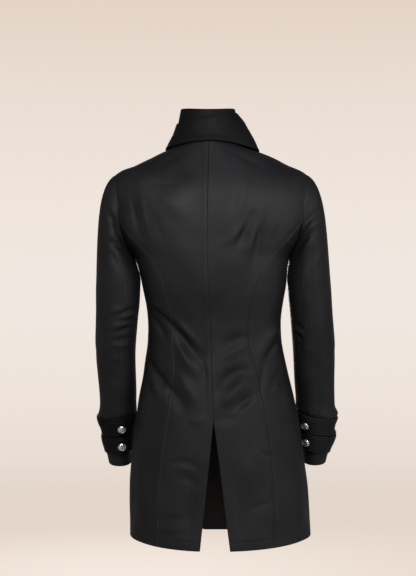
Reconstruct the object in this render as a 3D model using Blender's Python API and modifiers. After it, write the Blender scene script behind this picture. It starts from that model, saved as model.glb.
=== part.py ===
"""Redingote: a fitted long coat with a high collar, an open back vent and two straps on each cuff.

It keeps the hollow form it has on a standing wearer. Metres, +Z up. The coat's front faces -Y and the
wearer's left is +X. The origin is the middle of the neck, at the height where the coat hangs on the nape.

The body cloth is one surface, a family of rings round the body, and each panel is a stretch of it between
its own seams. A ring is found by its drop, which is how far its back lies below the nape, and a place on a
ring by its angle: 0 at centre back, 90 at the wearer's left side, -90 at the right, 180 at centre front.
"""

import math

import bmesh
import bpy
import numpy as np
from mathutils import Vector

# Cloth and seams
BODY_WALL = 0.0024
SLEEVE_WALL = 0.0020
COLLAR_WALL = 0.0028
SEAM_GAP = 0.0003

# Body rings, from the neck seam to the hem, in metres
NAPE_Z = 0.008
BODY_COLUMNS = ("drop", "side_z", "front_z", "centre_x", "half_left", "half_right",
                "back_y", "front_y", "squareness")
BODY_ROWS = (
    (0.000, -0.004, -0.078, 0.008, 0.078, 0.078, 0.062, 0.086, 2.00),  # neck seam
    (0.040, -0.0240, -0.100, 0.008, 0.117, 0.133, 0.076, 0.098, 2.10),  # yoke
    (0.090, -0.0462, -0.130, 0.009, 0.161, 0.179, 0.090, 0.110, 2.25),  # half shoulder
    (0.120, -0.0592, -0.149, 0.0095, 0.1925, 0.2090, 0.0965, 0.1165, 2.35),  # shoulder seam's end
    (0.135, -0.0695, -0.158, 0.010, 0.2040, 0.2208, 0.099, 0.119, 2.40),  # shoulder point
    (0.150, -0.0840, -0.169, 0.010, 0.2075, 0.2250, 0.1015, 0.1215, 2.45),  # below the shoulder
    (0.165, -0.1000, -0.180, 0.010, 0.2080, 0.2260, 0.104, 0.124, 2.50),  # upper armhole
    (0.200, -0.1500, -0.205, 0.010, 0.2040, 0.2230, 0.107, 0.128, 2.50),  # middle of the armhole
    (0.230, -0.2000, -0.230, 0.010, 0.1890, 0.2070, 0.107, 0.130, 2.45),  # lower armhole
    (0.255, -0.247, -0.250, 0.010, 0.158, 0.180, 0.106, 0.130, 2.40),  # underarm
    (0.320, -0.312, -0.312, 0.008, 0.1445, 0.1700, 0.098, 0.127, 2.35),  # below the chest
    (0.400, -0.392, -0.392, 0.004, 0.1357, 0.155, 0.082, 0.117, 2.25),  # above the waist
    (0.430, -0.422, -0.422, 0.003, 0.1375, 0.1555, 0.0805, 0.115, 2.25),  # waist
    (0.500, -0.492, -0.492, 0.001, 0.1485, 0.166, 0.092, 0.119, 2.25),  # top of the hip
    (0.580, -0.572, -0.572, -0.002, 0.1655, 0.1825, 0.109, 0.127, 2.25),  # hip
    (0.680, -0.672, -0.672, -0.004, 0.1803, 0.1965, 0.119, 0.134, 2.30),  # seat
    (0.790, -0.782, -0.782, -0.005, 0.186, 0.2085, 0.124, 0.140, 2.30),  # skirt
    (0.878, -0.853, -0.868, -0.006, 0.186, 0.210, 0.130, 0.146, 2.30),  # hem
)
SHOULDER_DROP = 0.126
UNDERARM_DROP = 0.255
HEM_DROP = 0.878

# Armhole, as a loop round the side of the body
ARMHOLE_BACK_REACH = 17.0  # degrees from the side towards the back
ARMHOLE_FRONT_REACH = 22.0
ARMHOLE_SAG = 0.15  # how much rounder its lower half is

# Seams down the body, as the distance of the princess seam from the centre back seam
PRINCESS_TURN = 105.0  # degrees round the armhole from the shoulder to the top of the princess seam
PRINCESS_COLUMNS = ("drop", "left", "right")
PRINCESS_ROWS = (
    (0.270, 0.117, 0.127),
    (0.340, 0.095, 0.094),
    (0.430, 0.0865, 0.080),
    (0.500, 0.086, 0.096),
    (0.580, 0.098, 0.109),
    (0.680, 0.114, 0.121),
    (0.790, 0.123, 0.126),
    (0.878, 0.126, 0.127),
)
SIDE_SEAM_ANGLE = 94.0
ARMHOLE_CUT_FADE = 6  # how fast the side back's rows leave the curve of the armhole

# Back vent and front lap
VENT_DROP = 0.602
VENT_HALF_GAP = 0.032  # at the hem
FRONT_LAP = 0.024  # how far each front passes the centre front line
LAP_LIFT = 0.0034  # how far the upper front stands off the lower one
LAP_EASE = 0.004  # flat stretch beside the lower front's edge
LAP_RAMP = 0.016

# Largest folds of the body cloth: a run from (angle, drop) to (angle, drop), with its height and half width
FOLD_COLUMNS = ("angle_1", "drop_1", "angle_2", "drop_2", "height", "half_width")
FOLD_ROWS = (
    (78, 0.370, 46, 0.418, -0.0055, 0.017),
    (46, 0.418, 10, 0.480, -0.0050, 0.016),
    (52, 0.440, 12, 0.512, 0.0040, 0.016),
    (78, 0.476, 50, 0.530, -0.0050, 0.017),
    (50, 0.530, 26, 0.588, -0.0045, 0.016),
    (-80, 0.410, -49, 0.475, 0.0050, 0.017),
    (-46, 0.484, -8, 0.540, -0.0055, 0.017),
    (-45, 0.510, -10, 0.570, 0.0040, 0.015),
    (-46, 0.542, -6, 0.598, -0.0055, 0.016),
    (-46, 0.150, -36, 0.240, -0.0050, 0.018),
    (-53, 0.185, -46, 0.305, -0.0045, 0.016),
    (62, 0.150, 54, 0.225, -0.0045, 0.017),
    (100, 0.400, 150, 0.450, -0.0050, 0.018),
    (-102, 0.410, -148, 0.470, -0.0050, 0.018),
    (104, 0.480, 140, 0.540, -0.0045, 0.019),
    (-106, 0.490, -142, 0.555, 0.0040, 0.017),
)
CLOTH_PER_DEGREE = 0.0026  # metres of cloth round the waist
FOLD_FULLNESS = 0.42  # share of its run over which a fold keeps its height
FOLD_END = 0.02  # metres over which it fades past its run

# Sleeves: the arm's middle line and the half sizes of its sections, out from the body and front to back
ARM_COLUMNS = ("z", "out", "y", "half_out", "half_deep")
ARM_ROWS = {
    "left": (
        (-0.300, 0.2058, -0.003, 0.0485, 0.0635),
        (-0.340, 0.2070, -0.004, 0.0478, 0.0615),
        (-0.390, 0.2105, -0.008, 0.0462, 0.059),
        (-0.449, 0.2127, -0.016, 0.0440, 0.056),
        (-0.505, 0.2112, -0.028, 0.0425, 0.053),
        (-0.560, 0.2090, -0.043, 0.0405, 0.050),
        (-0.582, 0.2092, -0.049, 0.0400, 0.0495),
        (-0.600, 0.2120, -0.054, 0.0420, 0.0505),
        (-0.634, 0.2108, -0.064, 0.0335, 0.0460),
        (-0.643, 0.2112, -0.067, 0.0338, 0.0465),
        (-0.680, 0.2085, -0.078, 0.0285, 0.0450),
        (-0.703, 0.2062, -0.084, 0.0262, 0.0450),
    ),
    "right": (
        (-0.300, 0.2130, -0.003, 0.0473, 0.0635),
        (-0.340, 0.2163, -0.004, 0.0468, 0.0615),
        (-0.390, 0.2212, -0.008, 0.0468, 0.059),
        (-0.449, 0.2250, -0.016, 0.0462, 0.056),
        (-0.505, 0.2272, -0.028, 0.0450, 0.053),
        (-0.560, 0.2300, -0.043, 0.0430, 0.050),
        (-0.576, 0.2312, -0.047, 0.0428, 0.0497),
        (-0.593, 0.2345, -0.052, 0.0450, 0.0505),
        (-0.626, 0.2336, -0.062, 0.0380, 0.0465),
        (-0.639, 0.2358, -0.066, 0.0398, 0.0470),
        (-0.675, 0.2318, -0.077, 0.0315, 0.0455),
        (-0.701, 0.2300, -0.084, 0.0268, 0.0450),
    ),
}
CAP_END_Z = -0.300
CUFF_Z = {"left": -0.703, "right": -0.701}
SECTION_TILT = 0.16  # how far a section dips at the back, as a share of its depth
SLEEVE_SQUARENESS = 2.15
HIND_SEAM_TURN = 105.0  # degrees round the arm from its outer side, through the back
FORE_SEAM_TURN = 240.0

# Sleeve cap: which way it leaves the armhole, as (out, up), at the shoulder and under the arm
CAP_OUT = (0.93, -0.36)
CAP_UNDER = (0.12, -1.00)
CAP_SPREAD = 0.12
CAP_REACH = 0.155
CAP_UNDER_REACH = 0.04
CAP_END_PULL = 0.92
PUFF_RISE = (0.022, 0.008)  # heights above the upper strap between which the sleeve swells over it

# Cuff straps and buttons
STRAP_TOPS = {"left": {"upper": -0.5935, "lower": -0.6355}, "right": {"upper": -0.5915, "lower": -0.6315}}
STRAP_SLANT = {"left": 0.003, "right": 0.008}  # how much lower it lies on the sleeve's outer side
STRAP_WIDTH = 0.0385
STRAP_WALL = 0.0022
STRAP_RIBS = 7
STRAP_RIB_HEIGHT = 0.0011
STRAP_START = {"left": 89.0, "right": 106.0}  # turn where it starts, round the outer side and back over itself
STRAP_LAP_TURN = 395.0  # turns from here on are counted from a strap's start
STRAP_RISE = (317.0, 357.0)  # turns between which it climbs over its start
STRAP_TIP_TURN = 380.0
STRAP_BUTTON_TURN = 16.0
STRAP_LAP_LIFT = 0.0044
STRAP_TIP_WIDTH = 0.5  # width at the tip, as a share
BUTTON_RADIUS = 0.009
BUTTON_HEIGHT = 0.0058
SHANK_RADIUS = 0.003
SHANK_HEIGHT = 0.0022
BUTTON_STEPS = 12
BUTTON_COLUMNS = ("radius", "height")  # shares of the button's own, from its rim to the middle of its dome
BUTTON_ROWS = (
    (1.00, 0.00),
    (1.00, 0.25),
    (0.80, 0.42),
    (0.62, 0.50),
    (0.36, 0.66),
    (0.00, 0.70),
)
FRONT_BUTTON_COUNT = 5
FRONT_BUTTON_DROPS = (0.125, 0.500)

# Collar rings: where each lies at the back, the side and the front
COLLAR_COLUMNS = ("back_z", "side_z", "lean", "front_z", "centre_x", "half_left", "half_right",
                  "back_y", "front_y", "squareness")  # lean: how much higher its right side lies than side_z
STAND_ROWS = (
    (0.0086, -0.0032, 0.0, -0.0770, 0.0080, 0.0780, 0.0780, 0.0620, 0.0860, 2.0),  # on the neck seam
    (0.0300, 0.0260, 0.0, -0.0400, 0.0080, 0.0715, 0.0705, 0.0600, 0.0790, 2.0),
    (0.0510, 0.0540, 0.0, -0.0100, 0.0080, 0.0655, 0.0640, 0.0575, 0.0740, 2.0),
    (0.0745, 0.0800, 0.0, 0.0180, 0.0080, 0.0605, 0.0585, 0.0556, 0.0700, 2.0),  # top edge
)
LEAF_ROWS = (
    (0.0600, 0.0590, 0.0120, -0.0080, 0.0080, 0.0706, 0.0638, 0.0602, 0.0778, 2.0),  # fold
    (0.0500, 0.0480, 0.0100, -0.0180, 0.0078, 0.0735, 0.0740, 0.0655, 0.0825, 2.0),
    (0.0340, 0.0300, 0.0060, -0.0380, 0.0060, 0.0795, 0.0870, 0.0685, 0.0890, 2.05),
    (0.0180, 0.0110, 0.0020, -0.0620, 0.0030, 0.0900, 0.0975, 0.0702, 0.0960, 2.1),
    (0.0045, -0.0060, 0.0, -0.0830, 0.0000, 0.1000, 0.1035, 0.0690, 0.1000, 2.15),  # edge
)
LEAF_END_ANGLE = 158.0
# Where the leaf's edge lies on the body cloth, and how far its outer face stands off that cloth
LEAF_EDGE_COLUMNS = ("angle", "drop", "lift")
LEAF_EDGE_ROWS = (
    (-158, 0.0300, 0.0085),
    (-120, 0.0260, 0.0065),
    (-90, 0.0225, 0.0048),
    (-75, 0.0150, 0.0044),
    (-50, 0.0075, 0.0044),
    (-30, 0.0055, 0.0044),
    (0, 0.0045, 0.0044),
    (30, 0.0062, 0.0044),
    (50, 0.0083, 0.0044),
    (75, 0.0110, 0.0044),
    (90, 0.0138, 0.0048),
    (120, 0.0200, 0.0065),
    (158, 0.0280, 0.0105),
)
LEAF_DRAPE_POWER = 1.6  # how late, from its fold, the leaf turns towards that edge

# How finely each surface is divided. The turns are places round the armhole and round the arm.
CHEST_DROP = 0.320
WAIST_TOP_DROP = 0.370
SHOULDER_ROWS = 5
CHEST_ROWS = 3
BODY_ROW_STEP = 0.050
WAIST_ROW_STEP = 0.025
SKIRT_ROW_STEP = 0.046
BACK_COLUMNS = 7
FRONT_COLUMNS = 5
ARMHOLE_TURNS = (0, 20, 42, 64, 85, 105, 120, 135, 150, 165, 180)
CAP_STEPS = (0.0, 0.04, 0.12, 0.24, 0.40, 0.58, 0.80, 1.0)
ARM_ROW_STEP = 0.050
LEAF_COLUMNS = 26
LEAF_STEPS = 4
STAND_STEPS = 3
STRAP_INNER_STEPS = 2
ANGLE_STEP = 1.0  # degrees either way, for the slope of a surface
LENGTH_STEP = 0.002  # metres either way
SHARE_STEP = 0.01
SHARP_ANGLE = 35.0

COLOURS = {
    "wool": ((0.012, 0.012, 0.014), 0.72, 0.0),
    "silver": ((0.62, 0.61, 0.59), 0.28, 1.0),
}


def spline(places, values, at):
    """Smooth curve through the given values that never passes beyond them between two rows."""
    places = np.asarray(places, float)
    values = np.asarray(values, float)
    step = np.diff(places)
    rise = np.diff(values) / step
    slope = np.concatenate([[rise[0]], np.zeros(len(places) - 2), [rise[-1]]])
    same_way = rise[:-1] * rise[1:] > 0
    first = 2 * step[1:] + step[:-1]
    second = step[1:] + 2 * step[:-1]
    before = np.where(same_way, rise[:-1], 1.0)
    after = np.where(same_way, rise[1:], 1.0)
    slope[1:-1] = np.where(same_way, (first + second) / (first / before + second / after), 0.0)
    at = np.clip(at, places[0], places[-1])
    i = np.clip(np.searchsorted(places, at, side="right") - 1, 0, len(step) - 1)
    share = (at - places[i]) / step[i]
    start = (1 + 2 * share) * values[i] + share * step[i] * slope[i]
    end = (3 - 2 * share) * values[i + 1] - (1 - share) * step[i] * slope[i + 1]
    return (1 - share) ** 2 * start + share**2 * end


def table_at(rows, names, at, key=0):
    """Every column of a table at the given value of its key column."""
    places = [row[key] for row in rows]
    if places[0] > places[-1]:
        rows = rows[::-1]
        places = places[::-1]
    return {name: spline(places, [row[i] for row in rows], at) for i, name in enumerate(names)}


def smooth_step(share):
    share = np.clip(share, 0.0, 1.0)
    return share * share * (3 - 2 * share)


def unit(vectors):
    return vectors / np.maximum(np.linalg.norm(vectors, axis=-1, keepdims=True), 1e-12)


def ring_point(angle, ring):
    """Point of a ring whose plan is a superellipse and whose height dips towards the back and the front."""
    turn = np.radians(angle)
    sine = np.sin(turn)
    cosine = np.cos(turn)
    half = np.where(sine >= 0, ring["half_left"], ring["half_right"])
    reach = np.where(cosine >= 0, ring["back_y"], ring["front_y"])
    power = ring["squareness"]
    radius = (np.abs(sine / half) ** power + np.abs(cosine / reach) ** power) ** (-1 / power)
    x = ring["centre_x"] + radius * sine
    y = radius * cosine
    share = (y / reach) ** 2
    end_z = np.where(cosine >= 0, ring["back_z"], ring["front_z"])
    z = ring["side_z"] + (end_z - ring["side_z"]) * share - ring.get("lean", 0.0) * sine
    return np.stack([x, y, z], axis=-1)


def body_ring(drop):
    ring = table_at(BODY_ROWS, BODY_COLUMNS, drop)
    ring["back_z"] = NAPE_Z - ring["drop"]
    return ring


def plain_body(angle, drop):
    return ring_point(angle, body_ring(drop))


def surface_normal(surface, first, second, first_step, second_step):
    """Unit normal of a surface, pointing out, from its slopes along its two measures."""
    along = surface(first + first_step, second) - surface(first - first_step, second)
    down = surface(first, second + second_step) - surface(first, second - second_step)
    return unit(np.cross(along, down))


def body_folds(angle, drop):
    """Height of the largest folds: each is a soft trough or ridge that fades at both ends of its run."""
    total = np.zeros(np.broadcast(angle, drop).shape)
    for row in FOLD_ROWS:
        fold = dict(zip(FOLD_COLUMNS, row))
        run = np.array([(fold["angle_2"] - fold["angle_1"]) * CLOTH_PER_DEGREE,
                        fold["drop_2"] - fold["drop_1"]])
        length = np.linalg.norm(run)
        from_start = np.stack(np.broadcast_arrays((angle - fold["angle_1"]) * CLOTH_PER_DEGREE,
                                                  drop - fold["drop_1"]), axis=-1)
        along = from_start @ (run / length) / length
        aside = from_start @ (np.array([-run[1], run[0]]) / length)
        body = np.exp(-((np.clip(along, 0, 1) - 0.5) / FOLD_FULLNESS) ** 4)
        end = np.exp(-(np.maximum(np.abs(along - 0.5) - 0.5, 0) * length / FOLD_END) ** 2)
        total += fold["height"] * body * end * np.exp(-((aside / fold["half_width"]) ** 2))
    return total


def body_normal(angle, drop):
    return surface_normal(plain_body, angle, drop, ANGLE_STEP, LENGTH_STEP)


def body_point(angle, drop):
    """Outer cloth of the body with its largest folds."""
    raised = body_folds(angle, drop)
    return plain_body(angle, drop) + body_normal(angle, drop) * raised[..., None]


def angle_at_distance(distance, drop, side):
    """Angle on the back half of a ring where the cloth is this far to one side of the centre back seam."""
    ring = body_ring(drop)
    half = ring["half_left"] if side > 0 else ring["half_right"]
    power = ring["squareness"]
    y = ring["back_y"] * (1 - (distance / half) ** power) ** (1 / power)
    return side * np.degrees(np.arctan2(distance, y))


def front_distance(angle, drop):
    """How far a place has passed the centre front line, along the cloth."""
    return np.radians(np.abs(angle) - 180) * body_ring(drop)["front_y"]


def front_angle(distance, drop):
    """Angle of a place this far past the centre front line."""
    return 180 + np.degrees(distance / body_ring(drop)["front_y"])


def armhole(turn):
    """Angle and drop of the armhole seam: turn 0 at the shoulder, 90 at the back, 180 under the arm."""
    turn = np.radians(turn)
    share = (1 - np.cos(turn)) / 2
    drop = SHOULDER_DROP + (UNDERARM_DROP - SHOULDER_DROP) * share
    reach = np.where(np.sin(turn) > 0, ARMHOLE_BACK_REACH, ARMHOLE_FRONT_REACH)
    angle = 90 - reach * np.sin(turn) * (1 - ARMHOLE_SAG * np.cos(turn))
    return angle + (SIDE_SEAM_ANGLE - 90) * share, drop


def princess_angle(drop, side):
    """Angle of the princess seam, from the armhole to the hem."""
    armhole_angle, armhole_drop = armhole(PRINCESS_TURN)
    column = "left" if side > 0 else "right"
    places = [armhole_drop]
    angles = [side * armhole_angle]
    for row in PRINCESS_ROWS:
        place = dict(zip(PRINCESS_COLUMNS, row))
        places.append(place["drop"])
        angles.append(angle_at_distance(place[column], place["drop"], side))
    return spline(places, angles, drop)


def steps_between(low, high, step):
    count = max(1, round((high - low) / step))
    return np.linspace(low, high, count + 1)


def lower_drops(first):
    """Drops from the foot of the armhole to the hem, finer at the waist: first is where they start."""
    parts = [np.linspace(first, CHEST_DROP, CHEST_ROWS + 1)]
    parts.append(steps_between(CHEST_DROP, WAIST_TOP_DROP, BODY_ROW_STEP)[1:])
    parts.append(steps_between(WAIST_TOP_DROP, VENT_DROP, WAIST_ROW_STEP)[1:])
    parts.append(steps_between(VENT_DROP, HEM_DROP, SKIRT_ROW_STEP)[1:])
    return np.concatenate(parts)


def even_drops(edge_drops):
    """The same rows at the centre line, spread evenly between the shoulder and the chest."""
    drops = edge_drops.copy()
    zone = (drops >= SHOULDER_DROP) & (drops <= CHEST_DROP)
    drops[zone] = np.linspace(SHOULDER_DROP, CHEST_DROP, zone.sum())
    return drops


def wall_mesh(name, outer, inner):
    """A wall between two skins, grids of points with the same columns, with its four edges closed.

    The skins are built here, and not by thickening one of them, because the edges of two panels lie along
    each other only where both walls lean the same way at the seam.
    """
    mesh = bmesh.new()
    out = [[mesh.verts.new(point) for point in row] for row in outer]
    back = [[mesh.verts.new(point) for point in row] for row in inner]
    columns = range(outer.shape[1] - 1)
    for skin in (out, back):
        for above, below in zip(skin[:-1], skin[1:]):
            for j in columns:
                mesh.faces.new((above[j], below[j], below[j + 1], above[j + 1]))
    for j in columns:
        for end in (0, -1):
            mesh.faces.new((out[end][j], out[end][j + 1], back[end][j + 1], back[end][j]))
    for j in (0, -1):
        if len(out) == len(back):
            for i in range(len(out) - 1):
                mesh.faces.new((out[i][j], out[i + 1][j], back[i + 1][j], back[i][j]))
        else:
            mesh.faces.new([row[j] for row in out] + [row[j] for row in reversed(back)])
    bmesh.ops.recalc_face_normals(mesh, faces=mesh.faces)
    data = bpy.data.meshes.new(name)
    mesh.to_mesh(data)
    mesh.free()
    return data


def trimmed(grid, edges):
    """The grid with the named edges moved in by half a seam gap: top, bottom, first and last."""
    grid = grid.copy()
    half = SEAM_GAP / 2
    if "top" in edges:
        grid[0] += unit(grid[1] - grid[0]) * half
    if "bottom" in edges:
        grid[-1] += unit(grid[-2] - grid[-1]) * half
    if "first" in edges:
        grid[:, 0] += unit(grid[:, 1] - grid[:, 0]) * half
    if "last" in edges:
        grid[:, -1] += unit(grid[:, -2] - grid[:, -1]) * half
    return grid


def add_object(name, data, finish, collection):
    thing = bpy.data.objects.new(name, data)
    collection.objects.link(thing)
    thing.data.materials.append(finish)
    thing.data.shade_smooth()
    thing.data.set_sharp_from_angle(angle=math.radians(SHARP_ANGLE))
    return thing


def body_panel(name, angles, drops, edges, finish, collection, lift=0.0):
    """One panel of the body from its grid of angles and drops."""
    normal = body_normal(angles, drops)
    outer = body_point(angles, drops) + normal * np.asarray(lift)[..., None]
    inner = outer - normal * BODY_WALL
    data = wall_mesh(name, trimmed(outer, edges), trimmed(inner, edges))
    return add_object(name, data, finish, collection)


def side_word(side):
    return "left" if side > 0 else "right"


def side_name(piece, side):
    return f"{piece}_{side_word(side)}"


def add_back(side, finish, collection):
    """From the centre back seam to the shoulder seam, armhole and princess seam, open below in a vent."""
    shoulder = np.linspace(0, SHOULDER_DROP, SHOULDER_ROWS + 1)[:-1]
    turns = np.array([turn for turn in ARMHOLE_TURNS if turn <= PRINCESS_TURN])
    armhole_angles, armhole_drops = armhole(turns)
    below = lower_drops(armhole_drops[-1])[1:]
    edge_drops = np.concatenate([shoulder, armhole_drops, below])
    edge_angles = np.concatenate([np.full(len(shoulder), 90.0), armhole_angles,
                                  side * princess_angle(below, side)]) * side
    centre_drops = even_drops(edge_drops)
    opening = VENT_HALF_GAP * np.clip((centre_drops - VENT_DROP) / (HEM_DROP - VENT_DROP), 0, 1)
    centre_angles = angle_at_distance(opening, centre_drops, side)
    share = np.linspace(0, 1, BACK_COLUMNS + 1)
    angles = centre_angles[:, None] * (1 - share) + edge_angles[:, None] * share
    drops = centre_drops[:, None] * (1 - share) + edge_drops[:, None] * share
    return body_panel(side_name("back", side), angles, drops, ("first", "last"), finish, collection)


def add_side_back(side, finish, collection):
    """From the princess seam to the side seam, its top edge cut to the lower back of the armhole."""
    turns = np.array([turn for turn in ARMHOLE_TURNS if turn >= PRINCESS_TURN])
    top_angles, top_drops = armhole(turns)
    princess_drops = lower_drops(top_drops[0])
    seam_drops = lower_drops(UNDERARM_DROP)
    princess_angles = side * princess_angle(princess_drops, side)
    share = np.linspace(0, 1, len(turns))
    angles = princess_angles[:, None] * (1 - share) + SIDE_SEAM_ANGLE * share
    drops = princess_drops[:, None] * (1 - share) + seam_drops[:, None] * share
    fade = (1 - np.linspace(0, 1, len(seam_drops))[:, None]) ** ARMHOLE_CUT_FADE
    angles = angles + (top_angles - angles[0]) * fade
    drops = drops + (top_drops - drops[0]) * fade
    return body_panel(side_name("side_back", side), side * angles, drops, ("top", "first", "last"),
                      finish, collection)


def add_front(side, finish, collection):
    """From the side seam, armhole and shoulder seam to past the centre front: the left front laps over."""
    shoulder = np.linspace(0, SHOULDER_DROP, SHOULDER_ROWS + 1)[:-1]
    armhole_angles, armhole_drops = armhole(360 - np.array(ARMHOLE_TURNS))
    below = lower_drops(UNDERARM_DROP)[1:]
    edge_drops = np.concatenate([shoulder, armhole_drops, below])
    edge_angles = np.concatenate([np.full(len(shoulder), 90.0), armhole_angles,
                                  np.full(len(below), SIDE_SEAM_ANGLE)])
    centre_drops = even_drops(edge_drops)
    ramp_start = front_angle(-(FRONT_LAP + LAP_EASE + LAP_RAMP), centre_drops)
    share = np.linspace(0, 1, FRONT_COLUMNS + 1)
    angles = edge_angles[:, None] * (1 - share) + ramp_start[:, None] * share
    drops = edge_drops[:, None] * (1 - share) + centre_drops[:, None] * share
    lap = [front_angle(distance, centre_drops) for distance in (-(FRONT_LAP + LAP_EASE), 0.0, FRONT_LAP)]
    angles = np.concatenate([angles, np.stack(lap, axis=1)], axis=1)
    drops = np.concatenate([drops, np.repeat(centre_drops[:, None], len(lap), axis=1)], axis=1)
    lift = lap_lift(angles, drops) if side > 0 else np.zeros_like(angles)
    return body_panel(side_name("front", side), side * angles, drops, ("first",), finish, collection, lift)


def lap_lift(angles, drops):
    """How far the upper front stands off the body surface."""
    distance = front_distance(angles, drops)
    return LAP_LIFT * smooth_step((distance + FRONT_LAP + LAP_EASE + LAP_RAMP) / LAP_RAMP)


def arm_point(turn, z, side):
    """Point of the sleeve below its cap, on the section whose middle is at height z."""
    arm = table_at(ARM_ROWS[side_word(side)], ARM_COLUMNS, z)
    turn = np.radians(turn)
    sine = np.sin(turn)
    cosine = np.cos(turn)
    radius = (np.abs(cosine) ** SLEEVE_SQUARENESS + np.abs(sine) ** SLEEVE_SQUARENESS) ** (
        -1 / SLEEVE_SQUARENESS)
    x = arm["out"] + arm["half_out"] * radius * cosine
    deep = arm["half_deep"] * radius * sine
    return np.stack([side * x, arm["y"] + deep, arm["z"] - SECTION_TILT * deep], axis=-1)


def cap_point(turn, share, side):
    """Point of the sleeve cap: a Hermite curve from the armhole seam to the top of the arm.

    Under the arm, where the sleeve hangs beside the body and not out from it, it starts a seam gap off it.
    """
    angle, drop = armhole(np.mod(turn, 360.0))
    out = np.cos(np.radians(turn) / 2) ** 2
    start = plain_body(side * angle, drop)
    start = start + body_normal(side * angle, drop) * (SEAM_GAP * (1 - out))[..., None]
    end = arm_point(turn, np.full_like(share, CAP_END_Z), side)
    below = arm_point(turn, np.full_like(share, CAP_END_Z - 0.01), side)
    lean = np.stack([side * (CAP_OUT[0] * out + CAP_UNDER[0] * (1 - out)),
                     CAP_SPREAD * np.sin(np.radians(turn)),
                     CAP_OUT[1] * out + CAP_UNDER[1] * (1 - out)], axis=-1)
    reach = CAP_REACH * out + CAP_UNDER_REACH * (1 - out)
    start_slope = unit(lean) * reach[..., None]
    span = np.linalg.norm(end - start, axis=-1, keepdims=True)
    end_slope = unit(below - end) * span * CAP_END_PULL
    t = share[..., None]
    return ((2 * t**3 - 3 * t**2 + 1) * start + (t**3 - 2 * t**2 + t) * start_slope
            + (3 * t**2 - 2 * t**3) * end + (t**3 - t**2) * end_slope)


def sleeve_point(turn, place, side):
    """Point of the sleeve: place 0 to 1 down its cap, then on by the distance below the cap."""
    share = np.clip(place, 0.0, 1.0)
    z = CAP_END_Z - np.maximum(place - 1.0, 0.0)
    z = np.maximum(z, CUFF_Z[side_word(side)])
    on_cap = (place <= 1.0)[..., None]
    return np.where(on_cap, cap_point(turn, share, side), arm_point(turn, z, side))


def sleeve_normal(turn, place, side):
    def surface(first, second):
        return sleeve_point(first, second, side)

    return -side * surface_normal(surface, turn, place, ANGLE_STEP, 2 * LENGTH_STEP)


def sleeve_places(side):
    """Rows of the sleeve: down the cap, then down the arm with a row at each edge of each strap.

    Also says which rows slant as the straps do, from just above the upper strap to the lower one's edge.
    """
    cuff = CUFF_Z[side_word(side)]
    tops = STRAP_TOPS[side_word(side)]
    straps = []
    for top in (tops["upper"], tops["lower"]):
        straps.extend((top, top - STRAP_WIDTH / 2, top - STRAP_WIDTH))
    heights = list(steps_between(CAP_END_Z, tops["upper"] + PUFF_RISE[0], -ARM_ROW_STEP))
    heights.extend([tops["upper"] + PUFF_RISE[1]] + straps + [cuff])
    heights = np.array(heights[1:])
    slanted = (heights < tops["upper"] + PUFF_RISE[0] + LENGTH_STEP) & (heights > cuff)
    return (np.concatenate([CAP_STEPS, 1.0 + (CAP_END_Z - heights)]),
            np.concatenate([np.zeros(len(CAP_STEPS)), slanted]))


def arm_turns():
    """Columns once round the arm, from its outer side through the back, the same as the armhole's."""
    return list(ARMHOLE_TURNS) + [360 - turn for turn in reversed(ARMHOLE_TURNS[1:-1])]


def add_sleeve_panel(name, turns, side, finish, collection):
    """One panel of a sleeve, between two of its lengthwise seams."""
    turns = np.array(turns, float)
    places, slanted = sleeve_places(side)
    turn_grid, place_grid = np.meshgrid(turns, places)
    place_grid = place_grid + strap_slant(turn_grid, side) * slanted[:, None]
    outer = sleeve_point(turn_grid, place_grid, side)
    inner = outer - sleeve_normal(turn_grid, place_grid, side) * SLEEVE_WALL
    edges = ("top", "first", "last")
    return add_object(name, wall_mesh(name, trimmed(outer, edges), trimmed(inner, edges)),
                      finish, collection)


def add_sleeve(side, finish, collection):
    """Top sleeve over the outer side, under sleeve between the hind and fore seams."""
    turns = arm_turns()
    under = [turn for turn in turns if HIND_SEAM_TURN <= turn <= FORE_SEAM_TURN]
    top = [turn - 360 for turn in turns if turn >= FORE_SEAM_TURN]
    top += [turn for turn in turns if turn <= HIND_SEAM_TURN]
    add_sleeve_panel(side_name("top_sleeve", side), top, side, finish, collection)
    add_sleeve_panel(side_name("under_sleeve", side), under, side, finish, collection)


def strap_lift(turn, side):
    """How far a strap's inner face stands off the sleeve: it climbs over its own start."""
    rise = (turn - STRAP_START[side_word(side)] - STRAP_RISE[0]) / (STRAP_RISE[1] - STRAP_RISE[0])
    return SEAM_GAP + STRAP_LAP_LIFT * smooth_step(rise)


def strap_width(turn, side):
    """Width of a strap, which narrows over its tip."""
    past = turn - STRAP_START[side_word(side)] - STRAP_TIP_TURN
    narrowing = np.clip(past / (STRAP_LAP_TURN - STRAP_TIP_TURN), 0, 1)
    return STRAP_WIDTH * (1 - (1 - STRAP_TIP_WIDTH) * narrowing)


def strap_slant(turn, side):
    """How far a strap dips below its own middle height, lowest on the sleeve's outer side."""
    return STRAP_SLANT[side_word(side)] * np.cos(np.radians(turn))


def strap_middle(turn, top, side):
    return top - STRAP_WIDTH / 2 - strap_slant(turn, side)


def strap_skin(turns, shares, top, side, height):
    """Points of a strap's face, over the sleeve's own points: shares run from its top to its lower edge."""
    turn_grid, share_grid = np.meshgrid(turns, shares)
    z = strap_middle(turn_grid, top, side) + (0.5 - share_grid) * strap_width(turn_grid, side)
    place = 1.0 + (CAP_END_Z - z)
    base = sleeve_point(turn_grid, place, side)
    return base + sleeve_normal(turn_grid, place, side) * (strap_lift(turn_grid, side) + height)[..., None]


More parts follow.
